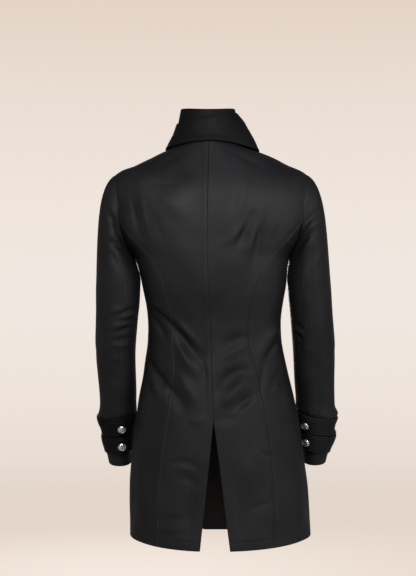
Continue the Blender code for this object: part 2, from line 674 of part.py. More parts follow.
def add_strap(name, top, side, finish, collection):
    """A band round the lower sleeve: raised channels outside, plain inside."""
    start = STRAP_START[side_word(side)]
    end = start + STRAP_LAP_TURN
    turns = [turn + lap for lap in (0, 360) for turn in arm_turns()]
    turns = np.array([start] + [turn for turn in turns if start < turn < end] + [end], float)
    outer_shares = np.linspace(0, 1, 2 * STRAP_RIBS + 1)
    rib = STRAP_RIB_HEIGHT * np.abs(np.sin(math.pi * STRAP_RIBS * outer_shares))
    rib_grid = np.repeat(rib[:, None], len(turns), axis=1)
    outer = strap_skin(turns, outer_shares, top, side, STRAP_WALL + rib_grid)
    inner = strap_skin(turns, np.linspace(0, 1, STRAP_INNER_STEPS + 1), top, side, 0.0)
    return add_object(name, wall_mesh(name, outer, inner), finish, collection)


def add_button(name, point, outward, finish, collection):
    """A domed button with a shank, turned about the way it faces, with a raised rim and centre."""
    profile = [(0.0, 0.0), (SHANK_RADIUS, 0.0), (SHANK_RADIUS, SHANK_HEIGHT)]
    for row in BUTTON_ROWS:
        place = dict(zip(BUTTON_COLUMNS, row))
        profile.append((BUTTON_RADIUS * place["radius"], SHANK_HEIGHT + BUTTON_HEIGHT * place["height"]))
    mesh = bpy.data.meshes.new(name)
    points = [(radius, 0.0, height) for radius, height in reversed(profile)]
    mesh.from_pydata(points, [(i, i + 1) for i in range(len(points) - 1)], [])
    thing = add_object(name, mesh, finish, collection)
    turned = thing.modifiers.new("turned", "SCREW")
    turned.steps = BUTTON_STEPS
    turned.render_steps = BUTTON_STEPS
    turned.use_merge_vertices = True
    turned.merge_threshold = 0.00001
    thing.location = point
    thing.rotation_euler = Vector(outward).to_track_quat("Z", "Y").to_euler()
    return thing


def collar_ring(share, rows):
    """Ring of the collar between its lower and upper rows, or from its fold to its edge."""
    place = share * (len(rows) - 1)
    numbered = [(i, *row) for i, row in enumerate(rows)]
    return table_at(numbered, ("place", *COLLAR_COLUMNS), place)


def neck_angles():
    """Angles of the neck edge's own columns, from the right front to the left front."""
    lap_start = front_angle(-(FRONT_LAP + LAP_EASE), 0.0)
    ramp_start = front_angle(-(FRONT_LAP + LAP_EASE + LAP_RAMP), 0.0)
    left = np.concatenate([np.linspace(0, 90, BACK_COLUMNS + 1),
                           np.linspace(90, ramp_start, FRONT_COLUMNS + 1)[1:], [lap_start]])
    return np.concatenate([-left[:0:-1], left])


def stand_foot_lift(angle, share):
    """Keeps the foot of the stand on the upper front, which stands off the lower one at the lap."""
    lift = np.where(angle > 90, lap_lift(angle, np.zeros_like(angle)), 0.0) * (1 - share) ** 2
    return body_normal(angle, np.zeros_like(angle)) * lift[..., None]


def leaf_drape(angle, share):
    """Brings the edge of the leaf down onto the body cloth, and the rest of it less towards its fold."""
    edge = table_at(LEAF_EDGE_ROWS, LEAF_EDGE_COLUMNS, angle)
    lying = plain_body(angle, edge["drop"]) + body_normal(angle, edge["drop"]) * edge["lift"][..., None]
    ring_edge = ring_point(angle, collar_ring(np.ones_like(angle), LEAF_ROWS))
    return (lying - ring_edge) * (np.maximum(share, 0) ** LEAF_DRAPE_POWER)[..., None]


def add_collar_wall(name, rows, angles, steps, wall_side, finish, collection, moved):
    """A collar piece, round the neck from one front end to the other."""
    angle_grid, share_grid = np.meshgrid(angles, np.linspace(0, 1, steps + 1))

    def surface(angle, share):
        return ring_point(angle, collar_ring(share, rows)) + moved(angle, share)

    normal = surface_normal(surface, angle_grid, share_grid, ANGLE_STEP, SHARE_STEP)
    face = surface(angle_grid, share_grid)
    return add_object(name, wall_mesh(name, face, face - normal * wall_side * COLLAR_WALL),
                      finish, collection)


def clear_scene():
    for thing in list(bpy.data.objects):
        bpy.data.objects.remove(thing, do_unlink=True)


def make_finish(name):
    colour, roughness, metallic = COLOURS[name]
    finish = bpy.data.materials.new(name)
    finish.use_nodes = True
    shader = finish.node_tree.nodes["Principled BSDF"]
    shader.inputs["Base Color"].default_value = (*colour, 1.0)
    shader.inputs["Roughness"].default_value = roughness
    shader.inputs["Metallic"].default_value = metallic
    return finish


def add_strap_button(level, top, side, finish, collection):
    """The button near the tip of a strap."""
    turn = np.array(STRAP_START[side_word(side)] + STRAP_BUTTON_TURN)
    place = 1.0 + (CAP_END_Z - strap_middle(turn, top, side))
    normal = sleeve_normal(turn, place, side)
    rise = strap_lift(turn + 360, side) + STRAP_WALL + STRAP_RIB_HEIGHT + SEAM_GAP
    add_button(side_name(f"button_strap_{level}", side), sleeve_point(turn, place, side) + normal * rise,
               normal, finish, collection)


def add_front_buttons(finish, collection):
    """Buttons down the centre front, on the upper front."""
    for i, drop in enumerate(np.linspace(*FRONT_BUTTON_DROPS, FRONT_BUTTON_COUNT)):
        angle = np.array(180.0)
        drop = np.array(drop)
        normal = body_normal(angle, drop)
        rise = LAP_LIFT + SEAM_GAP
        add_button(f"button_front_{i + 1}", body_point(angle, drop) + normal * rise, normal,
                   finish, collection)


def build():
    clear_scene()
    collection = bpy.data.collections.new("redingote")
    bpy.context.scene.collection.children.link(collection)
    wool = make_finish("wool")
    silver = make_finish("silver")
    for side in (1, -1):
        add_back(side, wool, collection)
        add_side_back(side, wool, collection)
        add_front(side, wool, collection)
        add_sleeve(side, wool, collection)
        for level, top in STRAP_TOPS[side_word(side)].items():
            add_strap(side_name(f"strap_{level}", side), top, side, wool, collection)
            add_strap_button(level, top, side, silver, collection)
    leaf_angles = np.linspace(-LEAF_END_ANGLE, LEAF_END_ANGLE, LEAF_COLUMNS + 1)
    add_collar_wall("collar_stand", STAND_ROWS, neck_angles(), STAND_STEPS, -1, wool, collection,
                    stand_foot_lift)
    add_collar_wall("collar_leaf", LEAF_ROWS, leaf_angles, LEAF_STEPS, 1, wool, collection, leaf_drape)
    add_front_buttons(silver, collection)


build()
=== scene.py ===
import math

import bpy
import numpy as np
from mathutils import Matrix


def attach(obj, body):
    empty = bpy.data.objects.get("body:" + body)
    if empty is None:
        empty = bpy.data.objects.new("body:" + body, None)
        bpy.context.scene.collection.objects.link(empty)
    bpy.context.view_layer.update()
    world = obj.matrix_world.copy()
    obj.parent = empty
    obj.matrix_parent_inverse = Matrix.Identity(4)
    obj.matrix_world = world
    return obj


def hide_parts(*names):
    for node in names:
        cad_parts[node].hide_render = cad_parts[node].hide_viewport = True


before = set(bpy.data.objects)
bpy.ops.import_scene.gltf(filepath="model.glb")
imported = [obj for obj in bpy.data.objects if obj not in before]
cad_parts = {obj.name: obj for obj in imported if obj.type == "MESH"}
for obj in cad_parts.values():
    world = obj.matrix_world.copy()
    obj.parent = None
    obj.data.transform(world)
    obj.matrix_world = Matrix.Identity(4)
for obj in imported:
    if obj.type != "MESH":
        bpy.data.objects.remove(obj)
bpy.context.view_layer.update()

cloth = {
    "bodyWall": 0.0024,
    "sleeveWall": 0.0020,
    "collarWall": 0.0028,
    "strapWall": 0.0022,
    "seamGap": 0.0003,
    "seamPinch": 0.00015,  # how far the rounded edges of two panels press into each other
    "rimRound": 0.9,  # 1 would make the rims fully half round
    "cell": 0.0045,  # size of a grid cell away from seams
}
# Places of the finer rows and columns, in from a seam and up from the hem
nearEdge = (0.0, 0.0019, 0.0033, 0.0046, 0.0056, 0.0066, 0.0085, 0.0110, 0.0135, 0.0165)
hemRows = (0.0, 0.0019, 0.0034, 0.0060, 0.0095, 0.0130, 0.0160, 0.0175, 0.0190, 0.0210, 0.0245)


# Small tools on whole arrays

# Smooth curve through values at places, monotone between two rows (Fritsch and Carlson's slopes)
def spline(places, values, at):
    places = np.asarray(places, float)
    values = np.asarray(values, float)
    step = np.diff(places)
    rise = np.diff(values) / step
    slope = np.concatenate([[rise[0]], np.zeros(len(places) - 2), [rise[-1]]])
    sameWay = rise[:-1] * rise[1:] > 0
    first = 2 * step[1:] + step[:-1]
    second = step[1:] + 2 * step[:-1]
    before = np.where(sameWay, rise[:-1], 1.0)
    after = np.where(sameWay, rise[1:], 1.0)
    slope[1:-1] = np.where(sameWay, (first + second) / (first / before + second / after), 0.0)
    at = np.clip(at, places[0], places[-1])
    i = np.clip(np.searchsorted(places, at, side="right") - 1, 0, len(step) - 1)
    share = (at - places[i]) / step[i]
    start = (1 + 2 * share) * values[i] + share * step[i] * slope[i]
    end = (3 - 2 * share) * values[i + 1] - (1 - share) * step[i] * slope[i + 1]
    return (1 - share) ** 2 * start + share**2 * end


def tableAt(rows, names, at):
    rows = sorted(rows)
    return {name: spline([row[0] for row in rows], [row[i] for row in rows], at)
            for i, name in enumerate(names)}


def smoothStep(share):
    share = np.clip(share, 0.0, 1.0)
    return share * share * (3 - 2 * share)


def bump(distance, width):
    return np.exp(-((distance / width) ** 2))


def unit(vectors):
    return vectors / np.maximum(np.linalg.norm(vectors, axis=-1, keepdims=True), 1e-12)


# Normal of a surface from its slopes along its two measures: (a step on) - (a step back), crossed
def slopeNormal(surface, first, second, firstStep, secondStep):
    along = surface(first + firstStep, second) - surface(first - firstStep, second)
    down = surface(first, second + secondStep) - surface(first, second - secondStep)
    return unit(np.cross(along, down))


# Length run from the first row or column of a grid of points, along the given axis
def runLength(points, axis):
    steps = np.linalg.norm(np.diff(points, axis=axis), axis=-1)
    start = np.zeros_like(steps[:1] if axis == 0 else steps[:, :1])
    return np.concatenate([start, np.cumsum(steps, axis=axis)], axis=axis)


def setPoints(name, points, faces, uv=None):
    mesh = bpy.data.meshes.new(name)
    mesh.from_pydata(points.tolist(), [], faces)
    if uv is not None:
        layer = mesh.uv_layers.new(name="grain")
        corners = np.zeros(len(mesh.loops), dtype=np.int32)
        mesh.loops.foreach_get("vertex_index", corners)
        layer.data.foreach_set("uv", uv[corners].astype(np.float32).ravel())
    mesh.shade_smooth()
    mesh.validate()
    thing = bpy.data.objects.new(name, mesh)
    bpy.context.scene.collection.objects.link(thing)
    return thing


# Faces of a turned shape from its numbers of rings and of points round each, and those that close its
# first or last ring to a point in the middle
def turnedFaces(rings, around):
    number = np.arange(rings * around).reshape(rings, around)
    nextOne = np.roll(number, -1, axis=1)
    quads = np.stack([number[:-1], number[1:], nextOne[1:], nextOne[:-1]], axis=-1).reshape(-1, 4)

    def fan(row, middle):
        corners = (number[row], nextOne[row]) if row == 0 else (nextOne[row], number[row])
        return np.stack([np.full(around, middle), *corners], axis=-1)

    return quads, fan


# Puts a piece in its place: its material, the body it rides on and the solid it stands for, which it hides
def dress(piece, material, slotName, *nodes):
    piece.data.materials.append(material)
    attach(piece, "root")
    if nodes:
        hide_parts(*nodes)


# Closed cloth wall: two skins on one grid, with half-round rims of (1 - cos a, sin a) between them
def clothWall(name, outer, inner, grain, rimSteps):
    rows, columns = outer.shape[:2]
    total = rows * columns
    number = np.arange(total).reshape(rows, columns)
    loop = np.concatenate([number[0, :-1], number[:-1, -1], number[-1, :0:-1], number[:0:-1, 0]])
    inward = np.zeros_like(outer)
    inward[0] += unit(outer[1] - outer[0])
    inward[-1] += unit(outer[-2] - outer[-1])
    inward[:, 0] += unit(outer[:, 1] - outer[:, 0])
    inward[:, -1] += unit(outer[:, -2] - outer[:, -1])
    inward = inward.reshape(-1, 3)[loop]
    flatOuter = outer.reshape(-1, 3).copy()
    flatInner = inner.reshape(-1, 3).copy()
    half = np.linalg.norm(flatOuter - flatInner, axis=-1, keepdims=True)[loop] / 2 * cloth["rimRound"]
    for skin in (flatOuter, flatInner):
        skin[loop] += inward * (half - cloth["seamPinch"])
    points = [flatOuter, flatInner]
    for turn in np.linspace(0, math.pi, rimSteps + 2)[1:-1]:
        share = (1 - math.cos(turn)) / 2
        points.append(flatOuter[loop] * (1 - share) + flatInner[loop] * share
                      - inward * half * math.sin(turn))
    a, b, c, d = number[:-1, :-1], number[1:, :-1], number[1:, 1:], number[:-1, 1:]
    quads = [np.stack([a, b, c, d], axis=-1).reshape(-1, 4),
             np.stack([a, d, c, b], axis=-1).reshape(-1, 4) + total]
    rings = [loop] + [2 * total + i * len(loop) + np.arange(len(loop)) for i in range(rimSteps)]
    rings.append(loop + total)
    for above, below in zip(rings[:-1], rings[1:]):
        quads.append(np.stack([above, np.roll(above, -1), np.roll(below, -1), below], axis=-1))
    quads = np.concatenate(quads)
    facing = np.cross(outer[1:, :-1] - outer[:-1, :-1], outer[:-1, 1:] - outer[:-1, :-1])
    if np.sum(facing * (outer - inner)[:-1, :-1]) < 0:
        quads = quads[:, ::-1]
    grain = grain.reshape(-1, 2)
    uv = np.concatenate([grain, grain] + [grain[loop]] * rimSteps)
    return setPoints(name, np.concatenate(points), quads.tolist(), uv)


# Grain of a panel: length along its rows and down its middle column, in metres
def grainOf(points):
    across = runLength(points, 1)
    across = across - across[:, across.shape[1] // 2][:, None]
    down = runLength(points, 0)[:, points.shape[1] // 2]
    return np.stack([across, np.broadcast_to(down[:, None], across.shape)], axis=-1)


# Cut of a panel: its widest row and its longest column, worked out and then not kept
def declareCut(points):
    width = float(runLength(points, 1)[:, -1].max())
    length = float(runLength(points, 0)[-1].max())


# Sews one piece: its outer skin is the plain form raised by its relief, and its inner skin a wall behind
def sewPiece(name, node, base, normal, height, wall, material, rimSteps=3):
    outer = base + normal * height[..., None]
    inner = outer - normal * np.asarray(wall)[..., None]
    piece = clothWall(name, outer, inner, grainOf(base), rimSteps)
    dress(piece, material, "wool", node)
    declareCut(base)
    return outer


# Distances on a grid of points from its first and last column, and from its first and last row
def edgeDistances(points):
    across, down = runLength(points, 1), runLength(points, 0)
    return across, across[:, -1:] - across, down, down[-1:] - down


# Body rings, from the neck seam to the hem

body = {
    "napeZ": 0.008,
    "columns": ("drop", "sideZ", "frontZ", "centreX", "halfLeft", "halfRight", "backY", "frontY", "square"),
    "rows": (
        (0.000, -0.004, -0.078, 0.008, 0.078, 0.078, 0.062, 0.086, 2.00),  # neck seam
        (0.040, -0.0240, -0.100, 0.008, 0.117, 0.133, 0.076, 0.098, 2.10),  # yoke
        (0.090, -0.0462, -0.130, 0.009, 0.161, 0.179, 0.090, 0.110, 2.25),  # half shoulder
        (0.120, -0.0592, -0.149, 0.0095, 0.1925, 0.2090, 0.0965, 0.1165, 2.35),
        (0.135, -0.0695, -0.158, 0.010, 0.2040, 0.2208, 0.099, 0.119, 2.40),  # shoulder point
        (0.150, -0.0840, -0.169, 0.010, 0.2075, 0.2250, 0.1015, 0.1215, 2.45),
        (0.165, -0.1000, -0.180, 0.010, 0.2080, 0.2260, 0.104, 0.124, 2.50),
        (0.200, -0.1500, -0.205, 0.010, 0.2040, 0.2230, 0.107, 0.128, 2.50),
        (0.230, -0.2000, -0.230, 0.010, 0.1890, 0.2070, 0.107, 0.130, 2.45),
        (0.255, -0.247, -0.250, 0.010, 0.158, 0.180, 0.106, 0.130, 2.40),  # underarm
        (0.320, -0.312, -0.312, 0.008, 0.1445, 0.1700, 0.098, 0.127, 2.35),
        (0.400, -0.392, -0.392, 0.004, 0.1357, 0.155, 0.082, 0.117, 2.25),
        (0.430, -0.422, -0.422, 0.003, 0.1375, 0.1555, 0.0805, 0.115, 2.25),  # waist
        (0.500, -0.492, -0.492, 0.001, 0.1485, 0.166, 0.092, 0.119, 2.25),
        (0.580, -0.572, -0.572, -0.002, 0.1655, 0.1825, 0.109, 0.127, 2.25),  # hip
        (0.680, -0.672, -0.672, -0.004, 0.1803, 0.1965, 0.119, 0.134, 2.30),
        (0.790, -0.782, -0.782, -0.005, 0.186, 0.2085, 0.124, 0.140, 2.30),
        (0.878, -0.853, -0.868, -0.006, 0.186, 0.210, 0.130, 0.146, 2.30),  # hem
    ),
    "shoulderDrop": 0.126,
    "underarmDrop": 0.255,
    "hemDrop": 0.878,
    "chestDrop": 0.320,
    "armholeBack": 17.0,  # degrees that the armhole reaches back from the side
    "armholeFront": 22.0,
    "armholeSag": 0.15,
    "princessTurn": 105.0,  # place on the armhole where the princess seam starts
    "princess": {  # distance of that seam from centre back at each drop
        "drop": (0.270, 0.340, 0.430, 0.500, 0.580, 0.680, 0.790, 0.878),
        "left": (0.117, 0.095, 0.0865, 0.086, 0.098, 0.114, 0.123, 0.126),
        "right": (0.127, 0.094, 0.080, 0.096, 0.109, 0.121, 0.126, 0.127),
    },
    "sideSeam": 94.0,
    "cutFade": 6,  # how quickly the armhole's curve leaves the side panel's rows
    "grid": {"shoulder": 34, "armholeBack": 34, "armholeFront": 52, "side": 90, "lap": 30},
    "ripple": 0.0011,
    "ventDrop": 0.602,
    "ventHalfGap": 0.032,
    "ventFades": (0.01, 0.06, 0.03),  # over how much cloth its seam ends, and its stitches start and end
    "lap": 0.024,
    "lapLift": 0.0040,
    "lapEase": 0.004,
    "lapRamp": 0.016,
}


# Ring: x = centre + r sin, y = r cos with r the superellipse's radius; z dips by (y / reach) squared
def ringPoint(angle, ring):
    turn = np.radians(angle)
    sine = np.sin(turn)
    cosine = np.cos(turn)
    half = np.where(sine >= 0, ring["halfLeft"], ring["halfRight"])
    reach = np.where(cosine >= 0, ring["backY"], ring["frontY"])
    power = ring["square"]
    radius = (np.abs(sine / half) ** power + np.abs(cosine / reach) ** power) ** (-1 / power)
    y = radius * cosine
    endZ = np.where(cosine >= 0, ring["backZ"], ring["frontZ"])
    z = ring["sideZ"] + (endZ - ring["sideZ"]) * (y / reach) ** 2 - ring.get("lean", 0.0) * sine
    return np.stack([ring["centreX"] + radius * sine, y, z], axis=-1)


def bodyRing(drop):
    ring = tableAt(body["rows"], body["columns"], drop)
    ring["backZ"] = body["napeZ"] - ring["drop"]
    return ring


def plainBody(angle, drop):
    return ringPoint(angle, bodyRing(drop))


def bodyNormal(angle, drop):
    return slopeNormal(plainBody, angle, drop, 1.0, 0.002)


def angleAcross(distance, drop, side):
    ring = bodyRing(drop)
    half = ring["halfLeft"] if side > 0 else ring["halfRight"]
    y = ring["backY"] * (1 - (distance / half) ** ring["square"]) ** (1 / ring["square"])
    return side * np.degrees(np.arctan2(distance, y))


def frontAngle(distance, drop):
    return 180 + np.degrees(distance / bodyRing(drop)["frontY"])


def armhole(turn):
    turn = np.radians(turn)
    share = (1 - np.cos(turn)) / 2
    drop = body["shoulderDrop"] + (body["underarmDrop"] - body["shoulderDrop"]) * share
    reach = np.where(np.sin(turn) > 0, body["armholeBack"], body["armholeFront"])
    angle = 90 - reach * np.sin(turn) * (1 - body["armholeSag"] * np.cos(turn))
    return angle + (body["sideSeam"] - 90) * share, drop


def princessAngle(drop, side):
    startAngle, startDrop = armhole(body["princessTurn"])
    seam = body["princess"]
    across = np.array(seam["left" if side > 0 else "right"])
    angles = angleAcross(across, np.array(seam["drop"]), side)
    return spline([startDrop, *seam["drop"]], [side * startAngle, *angles], drop)


# Cloth round the body: a chart of the length along each ring from centre back, read between its knots
chart = {"drops": np.linspace(0, body["hemDrop"], 111), "lastAngle": 205, "perDegree": 2}
chart["angles"] = np.linspace(-chart["lastAngle"], chart["lastAngle"],
                              2 * chart["lastAngle"] * chart["perDegree"] + 1)


def makeChart():
    angles, drops = np.meshgrid(chart["angles"], chart["drops"])
    run = runLength(plainBody(angles, drops), 1)
    chart["across"] = run - run[:, [len(chart["angles"]) // 2]]


def clothAcross(angle, drop):
    row = np.clip(drop / body["hemDrop"], 0, 1) * (len(chart["drops"]) - 1)
    column = np.clip((angle + chart["lastAngle"]) * chart["perDegree"], 0, len(chart["angles"]) - 1.001)
    i = np.clip(row.astype(int), 0, len(chart["drops"]) - 2)
    j = column.astype(int)
    up = row - i
    on = column - j
    across = chart["across"]
    return ((across[i, j] * (1 - on) + across[i, j + 1] * on) * (1 - up)
            + (across[i + 1, j] * (1 - on) + across[i + 1, j + 1] * on) * up)


makeChart()

# Large folds of the body cloth, each from (angle, drop) to (angle, drop), then its height and its width.
# Angles are in degrees and lengths in millimetres, and a height is negative for a trough.
largeFolds = (
    (78, 370, 46, 418, -5.5, 17),
    (46, 418, 10, 480, -5, 16),
    (52, 440, 12, 512, 4, 16),
    (78, 476, 50, 530, -5, 17),
    (50, 530, 26, 588, -4.5, 16),
    (-80, 410, -49, 475, 5, 17),
    (-46, 484, -8, 540, -5.5, 17),
    (-45, 510, -10, 570, 4, 15),
    (-46, 542, -6, 598, -5.5, 16),
    (-46, 150, -36, 240, -5, 18),
    (-53, 185, -46, 305, -4.5, 16),
    (62, 150, 54, 225, -4.5, 17),
    (100, 400, 150, 450, -5, 18),
    (-102, 410, -148, 470, -5, 18),
    (104, 480, 140, 540, -4.5, 19),
    (-106, 490, -142, 555, 4, 17),
)
# Narrower creases, as above but with the bow, how far the middle bends aside, before the height, and
# last where along it the crease is deepest
creaseDepth = 1.4  # makes all of them deeper or shallower together, on the body and on the sleeves
creases = (
    # right shoulder blade, below the armhole's head
    (-48, 134, -9, 240, 16, 4, 8, 0.55),
    (-46.5, 148, -26, 266, -1, -4.4, 8.5, 0.45),
    (-49, 174, -41, 266, -3, 2.4, 8, 0.5),
    (-56, 164, -48.5, 286, -10, -4, 9, 0.5),
    (-62, 188, -60.5, 264, -5, -3, 9, 0.45),
    (-48.5, 82, -27, 194, 2, 2, 8.5, 0.55),
    # left shoulder blade, and the step below the yoke
    (62, 126, 50, 250, -10, 3.2, 9, 0.4),
    (67, 134, 56, 262, -12, -3.4, 9, 0.4),
    (66, 128, 8, 78, 4, -5.2, 17, 0.5),
    (56, 142, 38, 250, -3, -1.2, 11, 0.5),
    (52, 136, 16, 162, 1, 3, 19, 0.5),
    # left of the waist
    (49.5, 370, 9, 460, -1, 3.4, 7.2, 0.55),
    (78, 352, 13, 484, 14, -5.2, 7.5, 0.55),
    (17.5, 466, 9, 542, 6, -2.2, 6.5, 0.4),
    (79.5, 380, 51.5, 450, 8, -3.6, 6.2, 0.45),
    (50, 424, 25, 504, 3, 3.2, 8.5, 0.5),
    (88.5, 464, 24, 582, 4, -4.6, 8, 0.5),
    (72.5, 498, 51, 568, 1, 2.8, 6.8, 0.5),
    (77.5, 514, 53, 580, -2, -2.8, 6.8, 0.5),
    (44, 496, 13.5, 578, 0, 3.8, 12, 0.5),
    (30.5, 602, 3.5, 594, -6, 2, 6, 0.5),
    # right of the waist
    (-88.5, 398, -55.5, 456, -11, 4.6, 7.2, 0.4),
    (-79.5, 428, -51.5, 508, -5, -4.2, 7.8, 0.4),
    (-54.5, 442, -5, 488, -8, 2.6, 8.5, 0.45),
    (-53, 418, -6, 458, -5, -3, 10, 0.45),
    (-47.5, 488, -1.5, 560, -18, -3.6, 9.5, 0.45),
    (-49, 500, -3, 600, -10, 1, 10, 0.4),
    (-47.5, 538, -20, 586, 1, -2.4, 5.6, 0.4),
    (-30, 590, -0.5, 606, 2, -2.4, 6, 0.5),
    (-47, 558, -20, 596, 3, 1.6, 7.2, 0.4),
    (-61.5, 476, -49, 582, -8, -3, 8, 0.45),
    (-79.5, 490, -50.5, 568, -8, -2.6, 6.2, 0.45),
    (-72, 512, -58, 548, 0, 2.2, 5.8, 0.5),
    # skirt
    (44.5, 700, 11, 706, 13, -1.8, 5.5, 0.45),
    (44, 714, 10, 726, 14, 1.8, 5.5, 0.5),
    (39, 730, 14, 742, 9, -1.4, 5.5, 0.5),
    (67.5, 810, 16, 800, -9, -1.6, 6, 0.45),
    (63.5, 832, 14, 818, -11, 1.4, 6, 0.5),
    (-41, 662, -54.5, 678, -7, -1.8, 5.5, 0.45),
    (-27.5, 796, -56.5, 772, 3, -1.4, 6, 0.45),
    (-41, 624, -30, 706, -2, -1.4, 7, 0.45),
    (-49, 640, -52, 872, 4, 3, 20, 0.7),
    (48, 600, 55, 872, 4, 3, 20, 0.7),
    (-20, 660, -24, 872, 3, -2.2, 18, 0.7),
    (22, 650, 27, 872, 3, -2.2, 18, 0.7),
    (74, 640, 78, 872, 3, -2.4, 20, 0.7),
    (-76, 640, -80, 872, 3, -2.4, 20, 0.7),
    # yoke, drawn from the neck to the shoulders
    (30, 20, 64, 88, -4, -1.6, 8, 0.45),
    (-32, 22, -66, 92, 4, -1.6, 8, 0.45),
    # front, much as the back: the waist pulls to its buttons and the armholes to the chest
    (99, 392, 164, 458, 7, -3.2, 6.5, 0.4),
    (102, 424, 160, 500, 4, 2.4, 6.5, 0.45),
    (100, 470, 150, 556, 5, -2.8, 7, 0.4),
    (118, 448, 162, 474, 2, -1.7, 5.5, 0.5),
    (112, 520, 150, 590, 3, 1.6, 7, 0.4),
    (-99, 398, -166, 466, 6, -3, 6.5, 0.4),
    (-103, 436, -160, 506, 4, 2.4, 6.5, 0.45),
    (-101, 478, -154, 562, 5, -2.8, 7, 0.4),
    (-120, 452, -164, 482, 2, -1.6, 5.5, 0.5),
    (-110, 530, -148, 600, 3, 1.8, 7, 0.4),
    (116, 170, 124, 258, 5, -2.6, 7, 0.4),
    (124, 160, 136, 240, 4, 2, 7, 0.45),
    (110, 210, 116, 300, 4, -2, 6.5, 0.45),
    (-115, 172, -126, 262, 5, -2.6, 7, 0.4),
    (-125, 158, -138, 236, 4, 2, 7, 0.45),
    (-109, 214, -116, 306, 4, -2, 6.5, 0.45),
    (128, 640, 132, 872, 4, 2.8, 20, 0.7),
    (-130, 640, -134, 872, 4, 2.8, 20, 0.7),
    (150, 660, 154, 872, 4, -2.2, 18, 0.7),
    (-152, 660, -156, 872, 4, -2.2, 18, 0.7),
    (104, 650, 106, 872, 3, -2.2, 18, 0.7),
    (-105, 650, -108, 872, 3, -2.2, 18, 0.7),
    (136, 700, 160, 690, 3, -1.4, 6, 0.45),
    (-134, 716, -158, 706, 3, -1.4, 6, 0.45),
)


# Height of a fold: h env(t) exp(-|d / w| ^ 1.7), t along its chord, d aside from its bowed middle line,
# and w its width times 0.75 + 0.6 t
def foldHeight(across, down, start, end, bow, height, width, peak):
    run = end - start
    length = np.hypot(*run)
    x = (across - start[0]) / length
    y = (down - start[1]) / length
    t = (x * run[0] + y * run[1]) / length
    aside = x * -run[1] + y * run[0] - bow * 4 * t * (1 - t)
    rise = smoothStep(t / peak) * smoothStep((1 - t) / (1 - peak))
    spread = width * (0.75 + 0.6 * np.clip(t, 0, 1))
    return height * rise * np.exp(-np.abs(aside / spread) ** 1.7)


# Height of a broad fold: h exp(-((t - 1/2) / 0.42) ^ 4) exp(-(d / w) ^ 2), which fades past its ends
def wideFold(across, down, start, end, height, width):
    run = end - start
    length = np.hypot(*run)
    t = ((across - start[0]) * run[0] + (down - start[1]) * run[1]) / length**2
    aside = ((down - start[1]) * run[0] - (across - start[0]) * run[1]) / length
    along = np.exp(-((np.clip(t, 0, 1) - 0.5) / 0.42) ** 4)
    past = bump(np.maximum(np.abs(t - 0.5) - 0.5, 0) * length, 0.02)
    return height * along * past * bump(aside, width)


# Creases of one table together, with their ends put on the flat cloth by placeOf
def creaseHeights(across, down, rows, placeOf, depth=creaseDepth):
    total = 0.0
    for from1, from2, to1, to2, bow, height, width, peak in rows:
        total = total + foldHeight(across, down, placeOf(from1, from2), placeOf(to1, to2), bow / 1000,
                                   height * depth / 1000, width / 1000, peak)
    return total


def bodyPlace(angle, millimetres):
    drop = millimetres / 1000
    return np.array([float(clothAcross(np.array(float(angle)), np.array(drop))), drop])


# Slight unevenness of pressed cloth: a sum of a few long slow waves
def ripple(across, down, size):
    waves = ((31, 17, 0.3), (-23, 41, 1.9), (57, -29, 4.0), (13, 71, 2.6), (-67, 49, 5.2), (83, 61, 0.9))
    return size * sum(np.sin(across * a + down * b + c) for a, b, c in waves) / len(waves)


def bodyHeight(angle, drop):
    across = clothAcross(angle, drop)
    total = ripple(across, drop, body["ripple"])
    for angle1, drop1, angle2, drop2, height, width in largeFolds:
        total += wideFold(across, drop, bodyPlace(angle1, drop1), bodyPlace(angle2, drop2),
                          height / 1000, width / 1000)
    return total + creaseHeights(across, drop, creases, bodyPlace)


# Columns of a panel: at fixed lengths from both its edges, and even between. A row too short for them has
# all its columns even.
def spreadColumns(angles, drops, surface, first=nearEdge, last=nearEdge, cell=cloth["cell"]):
    run = runLength(surface(angles, drops), 1)
    total = run[:, -1:]
    middle = max(4, round(float((total.max() - first[-1] - last[-1]) / cell)))
    share = np.linspace(0, 1, middle + 1)[None, 1:-1]
    start = np.broadcast_to(np.array(first), (len(total), len(first)))
    inner = first[-1] + (total - first[-1] - last[-1]) * share
    end = total - np.array(last)[None, ::-1]
    wanted = np.concatenate([start, inner, end], axis=1)
    even = total * np.linspace(0, 1, wanted.shape[1])[None]
    wanted = np.where(total > first[-1] + last[-1] + 0.004, wanted, even)
    picked = [(np.interp(want, along, angle), np.interp(want, along, drop))
              for want, along, angle, drop in zip(wanted, run, angles, drops)]
    return np.stack([pair[0] for pair in picked]), np.stack([pair[1] for pair in picked])


def fineDrops(first):
    plain = np.arange(first, body["hemDrop"] - hemRows[-1] - 0.002, cloth["cell"])
    return np.concatenate([plain, body["hemDrop"] - np.array(hemRows[::-1])])


def evenCentre(edgeDrops):
    drops = edgeDrops.copy()
    zone = (drops >= body["shoulderDrop"]) & (drops <= body["chestDrop"])
    drops[zone] = np.linspace(body["shoulderDrop"], body["chestDrop"], zone.sum())
    return drops


def blendEdges(firstAngles, firstDrops, lastAngles, lastDrops, count=body["grid"]["side"]):
    share = np.linspace(0, 1, count)
    return (firstAngles[:, None] * (1 - share) + lastAngles[:, None] * share,
            firstDrops[:, None] * (1 - share) + lastDrops[:, None] * share)


shoulderDrops = np.linspace(0, body["shoulderDrop"], body["grid"]["shoulder"])[:-1]


